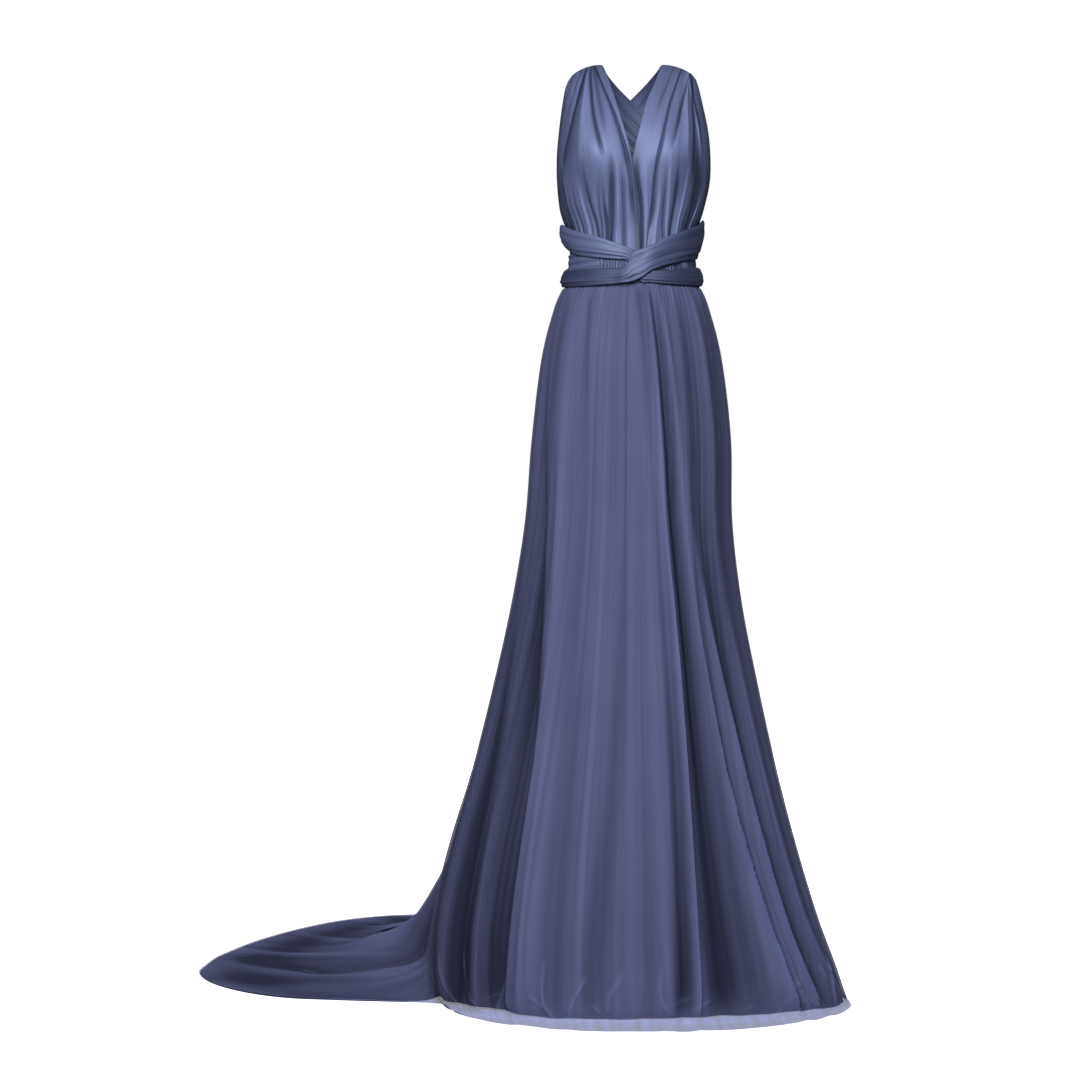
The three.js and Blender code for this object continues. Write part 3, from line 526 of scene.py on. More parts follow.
# thin wrinkles across the tulle by its hem: angle and level at both ends, and where it
# isn't the usual one, its height and width
hemWrinkles = [
    ((26, 9.7), (24, 11.7)), ((30, 10.6), (17, 11.8)), ((14, 10), (19, 11.6)),
    ((12, 10.9), (2, 11.9)), ((6, 11.8), (-14, 10.6)), ((4, 9.9), (8, 11.2), 3, 3.5),
    ((-10, 11.8), (-20, 10.7)), ((-7, 9.8), (-9, 11.3), 3, 3.5), ((-20, 11.9), (-33, 11)),
    ((-44, 9.4), (-60, 11.8), 5, 3.5), ((-62, 9.8), (-46, 11.8)), ((-52, 10.2), (-38, 11.9)),
    ((-57, 9.2), (-62, 11.6)), ((-66, 10), (-80, 11.4), 5, 3.5), ((-74, 9.4), (-70, 11.5)),
    ((38, 9.9), (44, 11.7)), ((43, 10.6), (56, 11.8)), ((60, 9.6), (49, 11.6)),
    ((72, 9.8), (62, 11.8), 4, 4), ((98, 9.8), (108, 11.4), 5, 4.5), ((88, 10.2), (72, 11.7), 4, 4),
    ((14, 12.1), (34, 12.5), 2, 4), ((-4, 12.6), (12, 12.2), 2, 4),
    ((-34, 12.1), (-12, 12.6), 2, 4), ((-58, 12.1), (-40, 12.6), 2, 4),
    ((40, 12.6), (58, 12.1), 2, 4), ((100, 10.4), (113, 12.6), 4, 7),
    ((117, 10.7), (124, 12.8), 3.5, 9), ((132, 10.8), (141, 12.6), 4, 9),
    ((148, 11), (152, 12.6), 3, 9), ((107, 11.2), (117, 12.7), -3, 8),
    ((164, 10.8), (168, 12.7), 3, 9), ((184, 10.8), (186, 12.6), 3, 9),
    ((204, 10.9), (202, 12.6), 3, 9),
]
usualWrinkle = (4, 3.5)
hemScale = (5.5, 55)  # millimetres a degree and a level near the hem


def hemHeight(angle, level):
    # each wrinkle stands up along a bowed line and dies out at its ends
    height = 0.0
    for (fromAngle, fromLevel), (toAngle, toLevel), *size in hemWrinkles:
        tall, wide = size or usualWrinkle
        along = np.array([toAngle - fromAngle, toLevel - fromLevel]) * hemScale
        x = ((angle - fromAngle + 180) % 360 - 180) * hemScale[0]
        y = (level - fromLevel) * hemScale[1]
        share = clamp((x * along[0] + y * along[1]) / (along @ along))
        bow = 8 * np.sin(math.pi * share)
        away = np.hypot(x - share * along[0] - bow, y - share * along[1])
        stands = tall * np.sin(math.pi * mix(0.12, 0.88, share))
        height = height + stands * np.exp(-(away / wide) ** 2)
    return height


def laidShare(fold, angle, level):
    # how fully a laid fold stands at a point: it grows from its start and dies by the hem
    path, start, _, wide, _ = fold
    grown = smooth((level - start) / 2.5) * (1 - smooth((level - 10.8) / 0.8))
    return np.exp(-(foldAway(path, angle, level) / wide) ** 2) * grown


# weights of the skirts' painted shade and highlights, of their random drifts, and of the painted
# light through a single net
skirtPaintedShading = {
    "ground": 0.3, "foldDepth": 22, "fineDrift": 0.05, "wideDrift": 0.08, "laidFold": 0.4,
    "wrinkle": 0.14, "hem": 0.15, "side": 0.2, "train": 0.62, "trainEdge": 0.66, "trainDrift": 0.14,
    "single": -0.75, "singleDrift": 0.3,
}


def paintedSkirtShade(folds, laid=()):
    # painted shade in the troughs, on the train and at the viewer's left side, painted highlights on
    # the ridges, along the laid folds and the hem's wrinkles, darker right by the hem, with faint
    # random drifts from thread to thread
    share = skirtPaintedShading

    def deep(angle, level):
        drifts = share["fineDrift"] * streaks(angle, level, 3.2, 54)
        drifts = drifts + share["wideDrift"] * streaks(angle, level, 9, 55)
        worn = 0
        if laid:
            worn = share["wrinkle"] * hemHeight(angle, level)
            worn = worn - share["hem"] * smooth((level - 11.6) / 0.5)
        for fold in laid:
            worn = worn + share["laidFold"] * laidShare(fold, angle, level)
        paintedSideShade = smooth((angle - 40) / 8) * smooth((100 - angle) / 20) * smooth((level - 3) / 3)
        paintedTrainShade = share["train"] - share["trainEdge"] * smooth((level - 12.1) / 0.8)
        paintedTrainShade = paintedTrainShade + share["trainDrift"] * streaks(angle, level, 7, 56)
        shaded = share["side"] * paintedSideShade + landed(level) * inTrain(angle) * paintedTrainShade
        tone = share["ground"] + drifts * settledShare(angle, level) + shaded - worn
        tone = tone - foldDepth(folds, angle, level) / share["foldDepth"]
        if not laid:
            return tone
        # where the tulle hangs single past the lining, painted light makes it paler, as light gets
        # through
        single = share["single"] + share["singleDrift"] * streaks(angle, level, 3, 58) - worn
        return mix(tone, single, smooth((level - liningEnd(angle)) / 0.1))
    return deep


def skirtSurface(folds, laid=(), inset=None):
    # the base surface pushed out by its folds, with the laid ones leaning over to one side
    def face(angle, level):
        over = np.zeros(angle.shape)
        stand = np.zeros(angle.shape)
        for fold in laid:
            hump = laidShare(fold, angle, level)
            over = over + fold[4] * hump
            stand = stand + fold[2] * hump * (0.35 + 0.65 * settledShare(angle, level))
        outward = normalOf(skirtBase, angle, level, 0.5, 0.05)
        distance = foldDepth(folds, angle, level) + fineRipple(angle, level)
        if inset:
            distance = distance - inset(angle, level)
        if laid:
            stand = stand + hemHeight(angle, level)
        return skirtBase(angle + over, level) + outward * (distance + stand)[..., None]
    return face


def skirtRoom(angle, level):
    # the tulle lies close all the way down and only stands off by the hem
    room = skirt["room"]
    hanging = mix(room["waist"], room["knee"], smooth((level - 5) / 2))
    hanging = mix(hanging, room["hem"], smooth((level - 8.5) / 2.5))
    return mix(hanging, room["train"], smooth((level - 8.4) / 3) * inTrain(angle))


def liningInset(angle, level):
    return 1.1 + skirtRoom(angle, level)


def liningEnd(angle):
    # the lining stops short of the tulle in front, on an uneven edge, and nearly meets it behind
    inFront = onFloor - 0.48 + 0.11 * ripple(angle / 6, 0, 57)
    return mix(inFront, skirtEnd - 0.05, smooth((angle - train["start"]) / 14) * beforeEnd(angle))


def resting(points, height):
    # lifts what would sink below its rest, easing into the floor
    lifted = points.copy()
    above = points[..., 2] - height
    eased = 1.5 * np.log1p(np.exp(np.minimum(above, 6) / 1.5))
    lifted[..., 2] = height + np.where(above > 6, above, eased)
    return lifted


# each half's first and last angle, and how much closer its columns are on the viewer's left,
# where the train fans out from
halves = {"front": (-90, 90, 0), "back": (90, 270, 0.4)}
# each layer's wall, grid, and least height above the floor as far as the lining goes and
# beyond; then each half's cut: its greatest width and length, and its area, in metres
liningLayer = {"piece": "skirt_lining", "node": "lining", "slot": "jersey", "wall": 1.0,
               "columns": 330, "shares": spread(140), "rest": (1.0, 1.0),
               "front": (0.95, 1.2, 0.72), "back": (2.0, 1.75, 1.45)}
tulleLayer = {"piece": "skirt_tulle", "node": "overskirt", "slot": "tulle", "wall": 0,
              "columns": 620, "shares": np.concatenate([spread(130), spread(22, 1, 2)[1:]]),
              "rest": (2.3, 0.4), "front": (1.1, 1.25, 0.78), "back": (2.2, 1.95, 1.55)}


def makeSkirtHalf(layer, half, material, face, tone):
    low, high, crowd = halves[half]
    place = spread(layer["columns"])
    angles = mix(low, high, place * (1 - crowd + crowd * place))
    # rows by their share of the way to the lining's end, closer together by the waist and the
    # hem, and from there on to the tulle's end
    angle, share = np.meshgrid(angles, layer["shares"])
    end = liningEnd(angle)
    level = np.where(share <= 1, end * (share - 0.035 * np.sin(2 * math.pi * np.minimum(share, 1))),
                     mix(end, skirtEnd, share - 1))
    rest = mix(*layer["rest"], smooth((level - end - 0.05) / 0.2))
    obj = gridMesh(f"{layer['piece']}_{half}", resting(face(angle, level), rest), material,
                   deep=tone(angle, level))
    if layer["wall"]:
        thicken(obj, layer["wall"])
    addPiece(obj, layer["slot"], f"{layer['node']}_{half}")


skirtFolds = mainFolds + softFolds
liningFace, liningPaintedShade = skirtSurface(skirtFolds, inset=liningInset), paintedSkirtShade(skirtFolds)
tulleFace, tullePaintedShade = skirtSurface(skirtFolds, laidFolds), paintedSkirtShade(skirtFolds, laidFolds)
for half in halves:
    makeSkirtHalf(liningLayer, half, liningJersey, liningFace, liningPaintedShade)
    makeSkirtHalf(tulleLayer, half, tulle, tulleFace, tullePaintedShade)
print("skirts made")


# the body under the wraps: its half width and its depths in front and behind, from the foot up
torso = {
    "columns": ("side", "fore", "aft"),
    "rows": [(110, 84, 85.5), (104.5, 80, 82), (102.5, 79, 81),
             (107.5, 82.5, 84), (113, 88.5, 89), (118, 95, 94)],
    "foot": 1164, "step": 30,
}


def torsoPoint(angle, height, lift):
    at = reader(torso, (height - torso["foot"]) / torso["step"])
    turn = np.radians(angle)
    depth = np.where(np.cos(turn) > 0, at("fore"), at("aft")) + lift
    half = at("side") + lift
    return np.stack([-half * np.sin(turn), -depth * np.cos(turn), height + 0 * turn], -1)


band = {
    "foot": 1172.3, "top": 1224, "pitch": 3.4, "depth": 2.0, "creases": 9, "creaseDepth": 2.0,
    "wall": 1.5, "flat": (0.052, 0.72),
}


def makeBand():
    angle, height = np.meshgrid(spread(900, 180, -180)[:-1], spread(28, band["foot"], band["top"]))
    share = (height - band["foot"]) / (band["top"] - band["foot"])
    cycles = round(360 / band["pitch"])
    wander = 2.2 * ripple(angle / 7, share * 2, 4) + 1.2 * ripple(angle / 2.2, share * 7, 5)
    gathered = np.abs(np.sin(np.radians(angle) * cycles / 2 + wander)) ** 0.7
    gathered = gathered * (0.75 + 0.5 * ripple(angle / 2.5, share * 8, 6))
    # on the viewer's left another turn of the strap lies flat there, creased lengthwise
    flatTurn = smooth((angle - 30) / 5) * smooth((150 - angle) / 20)
    bending = (angle - 90) / 60 + 0.6 * ripple(angle / 20, share * 2, 7)
    lines = np.abs(np.sin(band["creases"] * share * math.pi / 2 + bending)) ** 0.6
    lift = mix(band["depth"] * gathered, band["creaseDepth"] * lines + 0.6, flatTurn)
    # painted shade, deepest in the valleys between the gathers and, on the flat turn, between its
    # creases
    obj = gridMesh("waistband_shirred", torsoPoint(angle, height, lift - 0.2), jersey, closed=True,
                   deep=mix(1.35 - lift / 3.2, 1.0 - lift / 4.5, flatTurn))
    thicken(obj, band["wall"])
    addPiece(obj, "jersey", "waistband")


makeBand()

# each strap turn: angle from the front, middle height, how tall and thick it is, its lift and
# its painted shade, darker on the turns that lie below; and its creases: share across at start and
# end, depth, half width
strapColumns = ("turn", "height", "tall", "thick", "lift", "tone")
overStrap = {
    "columns": strapColumns,
    "rows": [
        (-109, 1250, 56, 6, 2, 0.6), (-90, 1251, 64, 8.5, 2, 0.85), (-70, 1243, 56, 8, 2, 0.8),
        (-48, 1235, 50, 9, 2.2, 0.78), (-28, 1224.5, 46, 9, 4, 0.66),
        (-14, 1212.5, 41, 8.5, 9, 0.54), (-6, 1203.5, 46, 8, 10, 0.54),
        (0, 1198.5, 48, 8, 10, 0.62), (4, 1190, 36, 8, 10, 0.7), (9, 1184, 26, 8, 8.4, 0.78),
        (17, 1182.5, 26, 8, 5, 0.84), (32, 1182.5, 28, 9, 2.6, 0.88), (60, 1183, 28, 9, 2.6, 0.88),
        (90, 1187, 28, 9.5, 2.6, 0.85), (125, 1195, 34, 9, 2.6, 0.6), (170, 1197, 26, 9, 2.6, 0.5),
    ],
    "creases": [(0.3, 0.3, 1.2, 0.06), (-0.02, 0.2, 0.8, 0.05), (-0.18, -0.04, 1.6, 0.03),
                (-0.38, -0.29, 2.2, 0.04)],
    "curl": 3.2, "nodes": ("wrap_upper_right", "wrap_lower_left"), "flat": (0.05, 0.45), "seed": 11,
}
underStrap = {
    "columns": strapColumns,
    "rows": [
        (109, 1256, 40, 7, 2, 0.5), (90, 1257, 38, 9, 2, 0.5), (60, 1242, 40, 9, 2, 0.45),
        (32, 1231, 34, 9, 2, 0.36), (15, 1223.5, 26, 8, 2, 0.45), (6, 1219.5, 22, 7, 2, 0.6),
        (0.5, 1210, 28, 6.6, 2, 0.7), (-6, 1189, 31, 6.6, 2, 0.8), (-13, 1183.5, 21, 7, 2, 0.9),
        (-30, 1182.5, 24, 9, 2.4, 1.0), (-60, 1186, 30, 9, 2.6, 0.9), (-90, 1190, 31, 9, 2.6, 0.85),
        (-125, 1195, 34, 9, 2.6, 0.6), (-170, 1197, 26, 9, 2.6, 0.5),
    ],
    "creases": [(0.22, 0.3, 0.8, 0.06), (-0.12, -0.02, 1.4, 0.035), (-0.36, -0.34, 2.0, 0.045)],
    "curl": 3.2, "nodes": ("wrap_upper_left", "wrap_lower_right"), "flat": (0.045, 0.42), "seed": 12,
}


def makeStrapTurn(name, strap, stations=300, sides=96):
    # a soft flattened tube round the waist, creased along its length
    last = len(strap["rows"]) - 1
    around = spread(sides, -math.pi / 2, 1.5 * math.pi - 2 * math.pi / sides)
    along, phase = np.meshgrid(spread(stations, 0, last), around, indexing="ij")
    across = np.sign(np.cos(phase)) * np.abs(np.cos(phase)) ** 0.8 / 2
    out = (1 + np.sign(np.sin(phase)) * np.abs(np.sin(phase)) ** 0.7) / 2
    share = along / last
    pressed = 0.0
    for i, (start, end, deep, wide) in enumerate(strap["creases"]):
        wander = 0.035 * np.sin(11 * share + 2.4 * i) * (1 - np.abs(start))
        fade = 0.65 + 0.35 * np.sin(17 * share + 1.9 * i)
        away = across - mix(start, end, smooth(share)) - wander
        away = np.abs(away / np.where(away > 0, wide, 1.8 * wide))
        pressed = pressed + deep * fade * np.exp(-away ** 1.4)
    pressed = pressed + 0.3 * ripple(along * 1.7, across * 12, strap["seed"]) + 0.2
    # its edges curl in towards the body at the sides
    at = reader(strap, along)
    curl = strap["curl"] * smooth((np.abs(at("turn")) - 30) / 40) * np.abs(2 * across) ** 2.5
    lift = at("lift") + out * at("thick") - pressed * smooth(out * 1.4) - curl
    points = torsoPoint(at("turn"), at("height") + across * at("tall"), lift)
    # painted shade from the tone column, deeper along the creases
    obj = gridMesh(name, points, jersey, closed=True, capped=True, deep=at("tone") + pressed / 5)
    addPiece(obj, "jersey", *strap["nodes"])


makeStrapTurn("strap_turn_over", overStrap)
makeStrapTurn("strap_turn_under", underStrap)

knot = {
    "half": 17, "deep": 7, "tall": 16, "out": 89.4, "height": 1197, "creases": 5,
    "flat": (0.05, 0.036),
}


def makeKnot(rows=60, columns=96):
    around = spread(columns, 0, 2 * math.pi * (1 - 1 / columns))
    tilt, turn = np.meshgrid(spread(rows, -1, 1), around, indexing="ij")
    ring = np.cos(tilt * math.pi / 2)

    def soften(t):
        return np.sign(t) * np.abs(t) ** 0.75

    x = soften(ring * np.cos(turn))
    y = soften(ring * np.sin(turn))
    z = soften(np.sin(tilt * math.pi / 2))
    # creases run slantwise over it, as where a strap is pulled through
    slant = knot["creases"] * (x * 0.8 + z) + 0.6 * ripple(x * 2, z * 2, 21)
    pull = 0.9 * np.abs(np.sin(slant)) ** 0.7
    swell = 1 + 0.06 * (pull - 0.6) * ring
    points = np.stack([knot["half"] * x * swell, knot["deep"] * y * swell + knot["out"],
                       knot["tall"] * z * swell + knot["height"]], -1)
    # painted shade between its slantwise creases, lighter on their ridges
    obj = gridMesh("back_knot_tied", points, jersey, closed=True, capped=True, deep=0.9 - 0.8 * pull)
    addPiece(obj, "jersey", "back_knot")


makeKnot()
print("waist made")


# the bodice has a gathered strap panel over each side of the chest; each row is a line across
# from the neckline to the arm, from the foot up
panelColumns = ("neckZ", "neckX", "neckY", "armZ", "armX", "armY", "arch")
leftPanel = {
    "columns": panelColumns,
    "rows": [
        (1224.3, 10, -79, 1224.3, -100, 18, 0), (1264, 8, -84, 1264, -106.5, 19, 0),
        (1300, 5, -92, 1300, -118, 19, 0), (1342, 0, -101, 1345, -123, 16, 0),
        (1382, -6, -104, 1388, -123.5, 12, 0), (1425, -18, -98, 1430, -120, 10, 0),
        (1466, -29, -79, 1470, -115, 12, 0), (1501, -38, -49, 1499, -110, 17, 2),
        (1527, -45, -15, 1510, -106, 23, 4), (1540, -48, 18, 1515, -103, 29, 5),
    ],
    "gathers": [
        ((0.8, 0.78, 0.74, 0.56, 0.38, 0.25), 0.3, 1.3, -2.6, 0.12, 0.03),
        ((0.8, 0.78, 0.74, 0.56, 0.38, 0.25), 0.3, 1.3, -4.4, 0.016, 0.01),
        ((0.5, 0.5, 0.49, 0.44, 0.34, 0.24), 0.36, 1.2, 3, 0.08, 0.02),
        ((0.2, 0.2, 0.23, 0.28, 0.26, 0.18), 0.36, 1.3, -4, 0.016, 0.024),
        ((0.2, 0.2, 0.17, 0.18, 0.19, 0.14), 0.48, 1.2, -2.6, 0.03, 0.03),
        ((0, 0, 0.035, 0.045, 0.12, 0.14), 0.28, 1.3, -4, 0.009, 0.02),
        ((0.86, 0.86, 0.85, 0.7, 0.5, 0.36), 0.5, 1.3, -2.2, 0.02, 0.02),
        ((0.93, 0.93, 0.93, 0.86, 0.7, 0.55), 0.44, 1.3, -2.6, 0.03, 0.015),
        ((0.96, 0.96, 0.96, 0.94, 0.85, 0.72), 0.5, 1.3, -2.2, 0.018, 0.018),
        ((0.73, 0.71, 0.8), -0.3, 0.44, -4.8, 0.02, 0.035),
        ((0.77, 0.77, 0.88, 0.9), -0.3, 0.4, -4, 0.015, 0.03),
        ((0.37, 0.39, 0.46, 0.5), -0.3, 0.42, -3.4, 0.02, 0.04),
        ((0.49, 0.48, 0.55), -0.3, 0.42, 1.4, 0.014, 0.014),
        ((0.28, 0.27, 0.25), -0.3, 0.36, -3.6, 0.014, 0.02),
        ((0.35, 0.32, 0.28), -0.3, 0.4, -2.2, 0.015, 0.02),
        ((0.28, 0.2, 0.155, 0.15), -0.3, 0.46, -4.6, 0.022, 0.03),
        ((0.22, 0.15, 0.12), -0.3, 0.42, 2.4, 0.02, 0.02),
        ((0.14, 0.105, 0.075, 0.07), -0.3, 0.44, -2.8, 0.016, 0.016),
        ((0.05, 0.04, 0.02), 0.1, 0.42, -2.2, 0.01, 0.014),
        ((0.55, 0.57, 0.62), -0.3, 0.36, -3.2, 0.014, 0.022),
        ((0.63, 0.64, 0.7), -0.3, 0.34, -2.6, 0.012, 0.018),
        ((0.85, 0.85, 0.92), -0.3, 0.4, -3.2, 0.014, 0.02),
        ((0.44, 0.44, 0.5), -0.3, 0.28, -2, 0.01, 0.014),
    ],
    "fan": 2.0, "foot": 1.0, "node": "bodice_left", "flat": (0.21, 0.35), "seed": 31,
}
rightPanel = {
    "columns": panelColumns,
    "rows": [
        (1224.3, -13, -74.4, 1224.3, 100, 18, 0), (1264, -12, -79.4, 1264, 106.5, 19, 0),
        (1300, -11, -87.4, 1300, 118, 19, 0), (1342, -9, -96.6, 1345, 128, 16, 0),
        (1382, -1, -100.6, 1388, 129, 12, 0), (1425, 10, -97, 1430, 125, 10, 0),
        (1466, 21, -79, 1470, 117, 12, 0), (1501, 35, -49, 1499, 111, 17, 2),
        (1527, 44, -15, 1510, 108, 23, 4), (1540, 48, 18, 1515, 106, 29, 5),
    ],
    "gathers": [
        ((0.2, 0.19, 0.18, 0.215, 0.31, 0.4), 0.06, 1.3, -3.8, 0.008, 0.013),
        ((0.28, 0.28, 0.28, 0.35, 0.5, 0.64), 0.42, 1.3, -3.8, 0.022, 0.014),
        ((0.46, 0.46, 0.45, 0.455, 0.5, 0.58), 0.36, 1.2, 3.4, 0.05, 0.014),
        ((0.55, 0.55, 0.53, 0.545, 0.6, 0.68), 0.28, 1.3, -4.6, 0.024, 0.035),
        ((0.68, 0.66, 0.64, 0.58, 0.53, 0.5), 0.34, 1.2, 2.2, 0.012, 0.014),
        ((0.66, 0.66, 0.66, 0.625, 0.58, 0.56), 0.42, 1.3, -3.6, 0.01, 0.04),
        ((0.9, 0.9, 0.85, 0.86, 0.9), 0.36, 1.3, -2.6, 0.03, 0.03),
        ((0.77, 0.77, 0.77, 0.76, 0.74), 0.5, 1.3, -2.2, 0.016, 0.02),
        ((0.1, 0.1, 0.1, 0.12, 0.18, 0.24), 0.55, 1.3, -1.8, 0.02, 0.02),
        ((0.6, 0.61, 0.58, 0.56), -0.3, 0.5, -4.6, 0.04, 0.09),
        ((0.17, 0.205, 0.2), -0.3, 0.36, -2.2, 0.012, 0.012),
        ((0.17, 0.155, 0.1), -0.3, 0.46, 2.6, 0.03, 0.018),
        ((0.25, 0.25, 0.22), -0.3, 0.4, 1.8, 0.015, 0.015),
        ((0.35, 0.29, 0.27), -0.3, 0.4, -3.2, 0.015, 0.015),
        ((0.38, 0.335, 0.29), -0.3, 0.46, 2.6, 0.02, 0.018),
        ((0.41, 0.39, 0.37), -0.3, 0.44, -4.2, 0.018, 0.03),
        ((0.49, 0.47, 0.48), -0.3, 0.44, 2, 0.012, 0.014),
        ((0.64, 0.69, 0.78), -0.3, 0.4, 2, 0.014, 0.014),
        ((0.9, 0.88, 0.8), -0.3, 0.5, -3.2, 0.03, 0.03),
        ((0.14, 0.11, 0.035, 0.03), -0.3, 0.44, -6, 0.012, 0.01),
        ((0.55, 0.55, 0.56, 0.57), -0.3, 0.28, -2.6, 0.012, 0.016),
        ((0.77, 0.79, 0.84), -0.3, 0.32, -2.8, 0.012, 0.018),
        ((0.3, 0.29), -0.3, 0.2, -1.6, 0.01, 0.01),
    ],
    "fan": 2.0, "foot": 1.0, "node": "bodice_right", "flat": (0.21, 0.35), "seed": 38,
}
# a gather's share across at each of these heights, the heights where it fades in and out,
# then its depth and its half widths towards the neckline and towards the arm
gatherUps = (0, 0.2, 0.4, 0.6, 0.8, 1)
bust = {"height": 1380, "reach": 0.36, "wide": 0.27, "tall": 50, "depth": 19}
cut = {"frontRound": 0.6, "sideRound": 0.68, "wall": 1.6, "fanFolds": 7, "footPuckers": 15}
# the panels' painted shade: its ground, by the arm, the painted shadow at the overlap and its width,
# and the gather depth that darkens by one
panelPaintedShade = {"ground": 0.3, "arm": 0.85, "overlap": 1.3, "overlapWidth": 0.042, "foldDepth": 5.5}


def archShape(across):
    return np.sin(math.pi * clamp(across) ** 0.6)


def bezier(a, b, c, d, t):
    s = 1 - t
    return a * s ** 3 + 3 * b * s * s * t + 3 * c * s * t * t + d * t ** 3


def puckers(across, up, count, seed):
    # rounded ridges with sharp valleys between them, uneven in width and strength
    wander = 0.9 * ripple(across * count * 0.6, up * 4, seed)
    strength = 0.65 + 0.35 * ripple(across * count * 0.5, up * 3, seed + 1)
    return strength * (np.abs(np.sin(math.pi * count * across + wander)) ** 0.75 - 0.6)


def gatherDepth(panel, across, up):
    # fan folds under the shoulder, puckers over the waist, and the gathers one by one
    depth = 0.12 * ripple(across * 22, up * 5, panel["seed"])
    fan = puckers(across, up, cut["fanFolds"], panel["seed"] + 2) * smooth((up - 0.55) / 0.4)
    foot = puckers(across, up, cut["footPuckers"], panel["seed"] + 4) * (1 - smooth(up / 0.33))
    depth = depth + panel["fan"] * fan + panel["foot"] * foot
    for path, low, high, deep, inner, outer in panel["gathers"]:
        line = easedPath(path, gatherUps, up, 0.06)
        away = np.abs(across - line) / np.where(across < line, inner, outer)
        there = smooth((up - low) / 0.16) * smooth((high - up) / 0.2)
        depth = depth + 1.2 * deep * there * np.exp(-away ** 1.4)
    return depth


def panelSurface(panel):
    # bends round from the front to the arm, and swells over the bust
    def face(across, up):
        at = reader(panel, up * (len(panel["rows"]) - 1))
        handleX = mix(at("neckX"), at("armX"), cut["frontRound"])
        handleY = mix(at("armY"), at("neckY"), cut["sideRound"])
        x = bezier(at("neckX"), handleX, at("armX"), at("armX"), across)
        y = bezier(at("neckY"), at("neckY"), handleY, at("armY"), across)
        z = mix(at("neckZ"), at("armZ"), across) + at("arch") * archShape(across)
        beside = (across - bust["reach"]) / bust["wide"]
        above = (z - bust["height"]) / bust["tall"]
        swell = bust["depth"] * np.exp(-beside * beside - above * above)
        edges = smooth(across / 0.04) * smooth((1 - across) / 0.04) * smooth((1 - up) / 0.035)
        return np.stack([x, y - swell - gatherDepth(panel, across, up) * edges, z], -1)
    return face


def makePanel(name, panel, columns=190, rows=200):
    across, up = np.meshgrid(spread(columns), spread(rows))
    # painted shade where it turns in by the arm, a painted shadow where the two panels overlap under
    # the neckline, and painted shade in the gathers' valleys, lighter on their ridges
    overlap = np.exp(-(across / panelPaintedShade["overlapWidth"]) ** 2) * (1 - smooth((up - 0.34) / 0.2))
    armAndOverlapShade = panelPaintedShade["arm"] * smooth((across - 0.74) / 0.26) + panelPaintedShade["overlap"] * overlap
    deep = panelPaintedShade["ground"] + armAndOverlapShade - gatherDepth(panel, across, up) / panelPaintedShade["foldDepth"]
    obj = gridMesh(name, panelSurface(panel)(across, up), jersey, deep=deep)
    thicken(obj, cut["wall"])
    addPiece(obj, "jersey", panel["node"])


makePanel("bodice_left_gathered", leftPanel)
makePanel("bodice_right_gathered", rightPanel)
print("bodice made")


# each back strap runs from the shoulder across to the other side of the waist, by its two edges
backStrap = {
    "columns": ("topX", "topY", "topZ", "lowX", "lowY", "lowZ", "arch"),
    "rows": [
        (-48, 18.5, 1540, -103, 29.5, 1515, 5), (-41, 54, 1534, -101, 57, 1496, 3),
        (-24, 86, 1519, -87, 85, 1462, 1), (3, 104, 1495, -54, 104, 1418, 0),
        (38, 109, 1463, -8, 106, 1376, 0), (71, 99, 1413, 42, 95, 1325, 0),
        (95, 76, 1353, 80, 71, 1270, 0), (108, 49, 1302, 96, 46, 1234, 0),
        (109, 32.6, 1278, 100.2, 30.2, 1222, 0),
    ],
    "crossingRow": 3.6, "crossingLift": 7, "gathers": 6, "gatherDepth": 0.8, "threads": 15,
    "threadDepth": 0.25, "bow": 5, "wall": 1.6, "flat": (0.11, 0.36),
    "shoulderTone": 0.36, "tone": 0.78, "middleTone": 0.2, "gatherTone": 0.16,
}


def makeBackStrap(name, toSide, lift, node, columns=110, rows=240):
    across, along = np.meshgrid(spread(columns), spread(rows))
    row = along * (len(backStrap["rows"]) - 1)
    at = reader(backStrap, row)
    raised = lift * np.exp(-((row - backStrap["crossingRow"]) / 1.9) ** 4)
    hollow = 4 * across * (1 - across)
    wander = across + 0.04 * np.sin(9 * along) + 0.03 * ripple(across * 3, along * 6, 41)
    gathers = 1 - 2 * np.abs(np.sin(math.pi * backStrap["gathers"] * wander)) ** 0.6
    fine = np.sin(2 * math.pi * backStrap["threads"] * (wander + 0.05 * np.sin(5 * along + 1)))
    ends = smooth(along / 0.06) * smooth((1 - along) / 0.06)
    relief = backStrap["gatherDepth"] * gathers + backStrap["threadDepth"] * fine
    out = raised + hollow * (backStrap["bow"] * ends - relief * smooth(along / 0.035))
    points = np.stack([toSide * mix(at("topX"), at("lowX"), across),
                       mix(at("topY"), at("lowY"), across) + out,
                       mix(at("topZ"), at("lowZ"), across) + at("arch") * archShape(across)], -1)
    # painted shade: light by the shoulder, darker along the strap and most in its middle, where it
    # shows inside the neckline, and deeper in the gathers' valleys
    middle = smooth((along - 0.3) / 0.15) * smooth((0.8 - along) / 0.2)
    deep = mix(backStrap["shoulderTone"], backStrap["tone"] + backStrap["middleTone"] * middle,
               smooth(along / 0.22))
    deep = deep + backStrap["gatherTone"] * gathers * smooth(along / 0.1)
    obj = gridMesh(name, points, jersey, deep=deep)
    thicken(obj, backStrap["wall"])
    addPiece(obj, "jersey", node)


makeBackStrap("back_strap_left_gathered", 1, 0, "back_strap_left")
makeBackStrap("back_strap_right_gathered", -1, backStrap["crossingLift"], "back_strap_right")
print("back made")


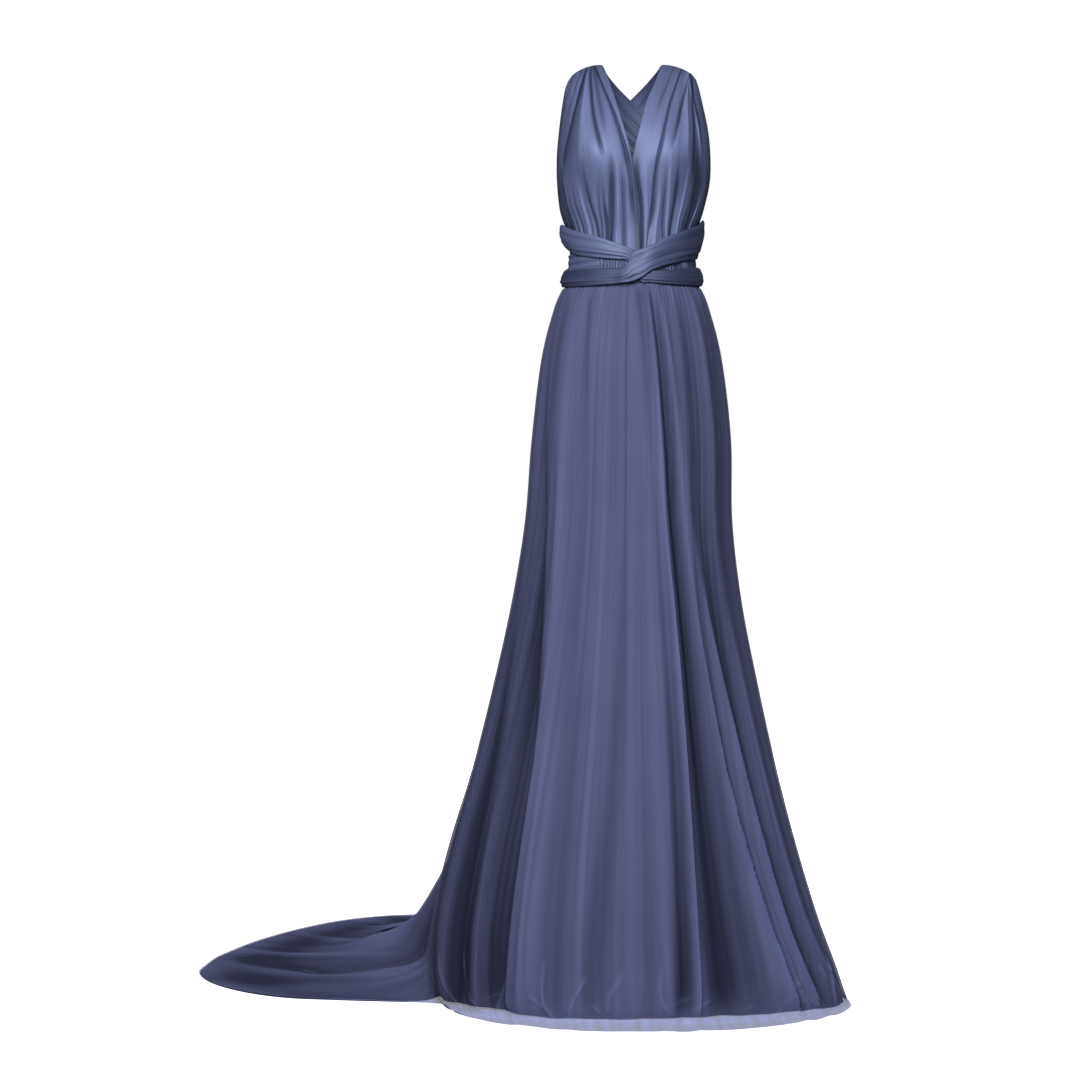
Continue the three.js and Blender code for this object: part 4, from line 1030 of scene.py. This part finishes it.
# camera, lights and floor, in metres
view = {"distance": 4.2, "height": 0.759, "side": -0.151, "lens": 85.4, "sensor": 36}
camera = bpy.data.objects.new("camera", bpy.data.cameras.new("camera"))
camera.location = (view["side"], -view["distance"], floorZ + view["height"])
camera.rotation_euler = (math.pi / 2, 0, 0)
camera.data.lens = view["lens"]
camera.data.sensor_width = view["sensor"]
bpy.context.scene.collection.objects.link(camera)
bpy.context.scene.camera = camera

studio = {
    "floorSize": 80, "floorColour": "#f2f2f3", "floorGlow": 1.0, "worldSeen": 1.0, "worldLit": 0.1,
    # each lamp: where it hangs, what it aims at, its size and power, and if it shows in the
    # gloss; a soft key in front and above, a weak one overhead, and three for the back and sides
    "lamps": [("key", (-0.35, -2.65, 1.98), (0, 0, 1.1), 1.3, 122, True),
              ("top", (0, 0.3, 3.6), (0, 0, 0.2), 2.0, 3, False),
              ("back", (0.4, 4.4, 2.4), (0, 0, 0.9), 2.4, 190, False),
              ("left", (-3.0, 3.2, 1.9), (0, 0.1, 0.8), 1.8, 45, False),
              ("right", (3.0, 3.2, 1.9), (0, 0.1, 0.8), 1.8, 45, False)],
}


def hangLamp(lamp, place, aim):
    obj = bpy.data.objects.new(lamp.name, lamp)
    obj.location = place + (0, 0, floorZ)
    ahead = aim - place
    rise = math.atan2(ahead[2], math.hypot(ahead[0], ahead[1]))
    obj.rotation_euler = (math.pi / 2 + rise, 0, math.atan2(ahead[1], ahead[0]) - math.pi / 2)
    bpy.context.scene.collection.objects.link(obj)
    return obj


def makeStudio():
    half = studio["floorSize"] / 2
    mesh = bpy.data.meshes.new("studio_floor")
    corners = [(x * half, y * half, floorZ) for x, y in ((-1, -1), (1, -1), (1, 1), (-1, 1))]
    mesh.from_pydata(corners, [], [(0, 1, 2, 3)])
    paper = newMaterial("matte white studio paper")
    shader = addNode(paper, "BsdfPrincipled", Base_Color=linearColour(studio["floorColour"]),
                     Roughness=0.9, Emission_Color=(1, 1, 1, 1),
                     Emission_Strength=studio["floorGlow"])
    addNode(paper, "OutputMaterial", {}, {"Surface": shader.outputs["BSDF"]})
    mesh.materials.append(paper)
    floor = bpy.data.objects.new("studio_floor", mesh)
    bpy.context.scene.collection.objects.link(floor)
    floor.visible_diffuse = False  # its glow is for the view alone and throws no light upwards
    floor.visible_glossy = False
    for name, place, aim, size, power, glossy in studio["lamps"]:
        lamp = bpy.data.lights.new(name, "AREA")
        lamp.size = size
        lamp.energy = power
        hangLamp(lamp, np.array(place), np.array(aim)).visible_glossy = glossy
    world = bpy.data.worlds.new("studio")
    bpy.context.scene.world = world
    world.use_nodes = True
    world.node_tree.nodes.clear()
    seen = addNode(world, "Background", Color=(1, 1, 1, 1), Strength=studio["worldSeen"])
    lit = addNode(world, "Background", Color=(1, 1, 1, 1), Strength=studio["worldLit"])
    ray = addNode(world, "LightPath")
    both = addNode(world, "MixShader", {},
                   {0: ray.outputs["Is Camera Ray"], 1: lit.outputs["Background"],
                    2: seen.outputs["Background"]})
    addNode(world, "OutputWorld", {}, {"Surface": both.outputs["Shader"]})


makeStudio()
bpy.context.scene.view_settings.view_transform = "Standard"
print("studio made")
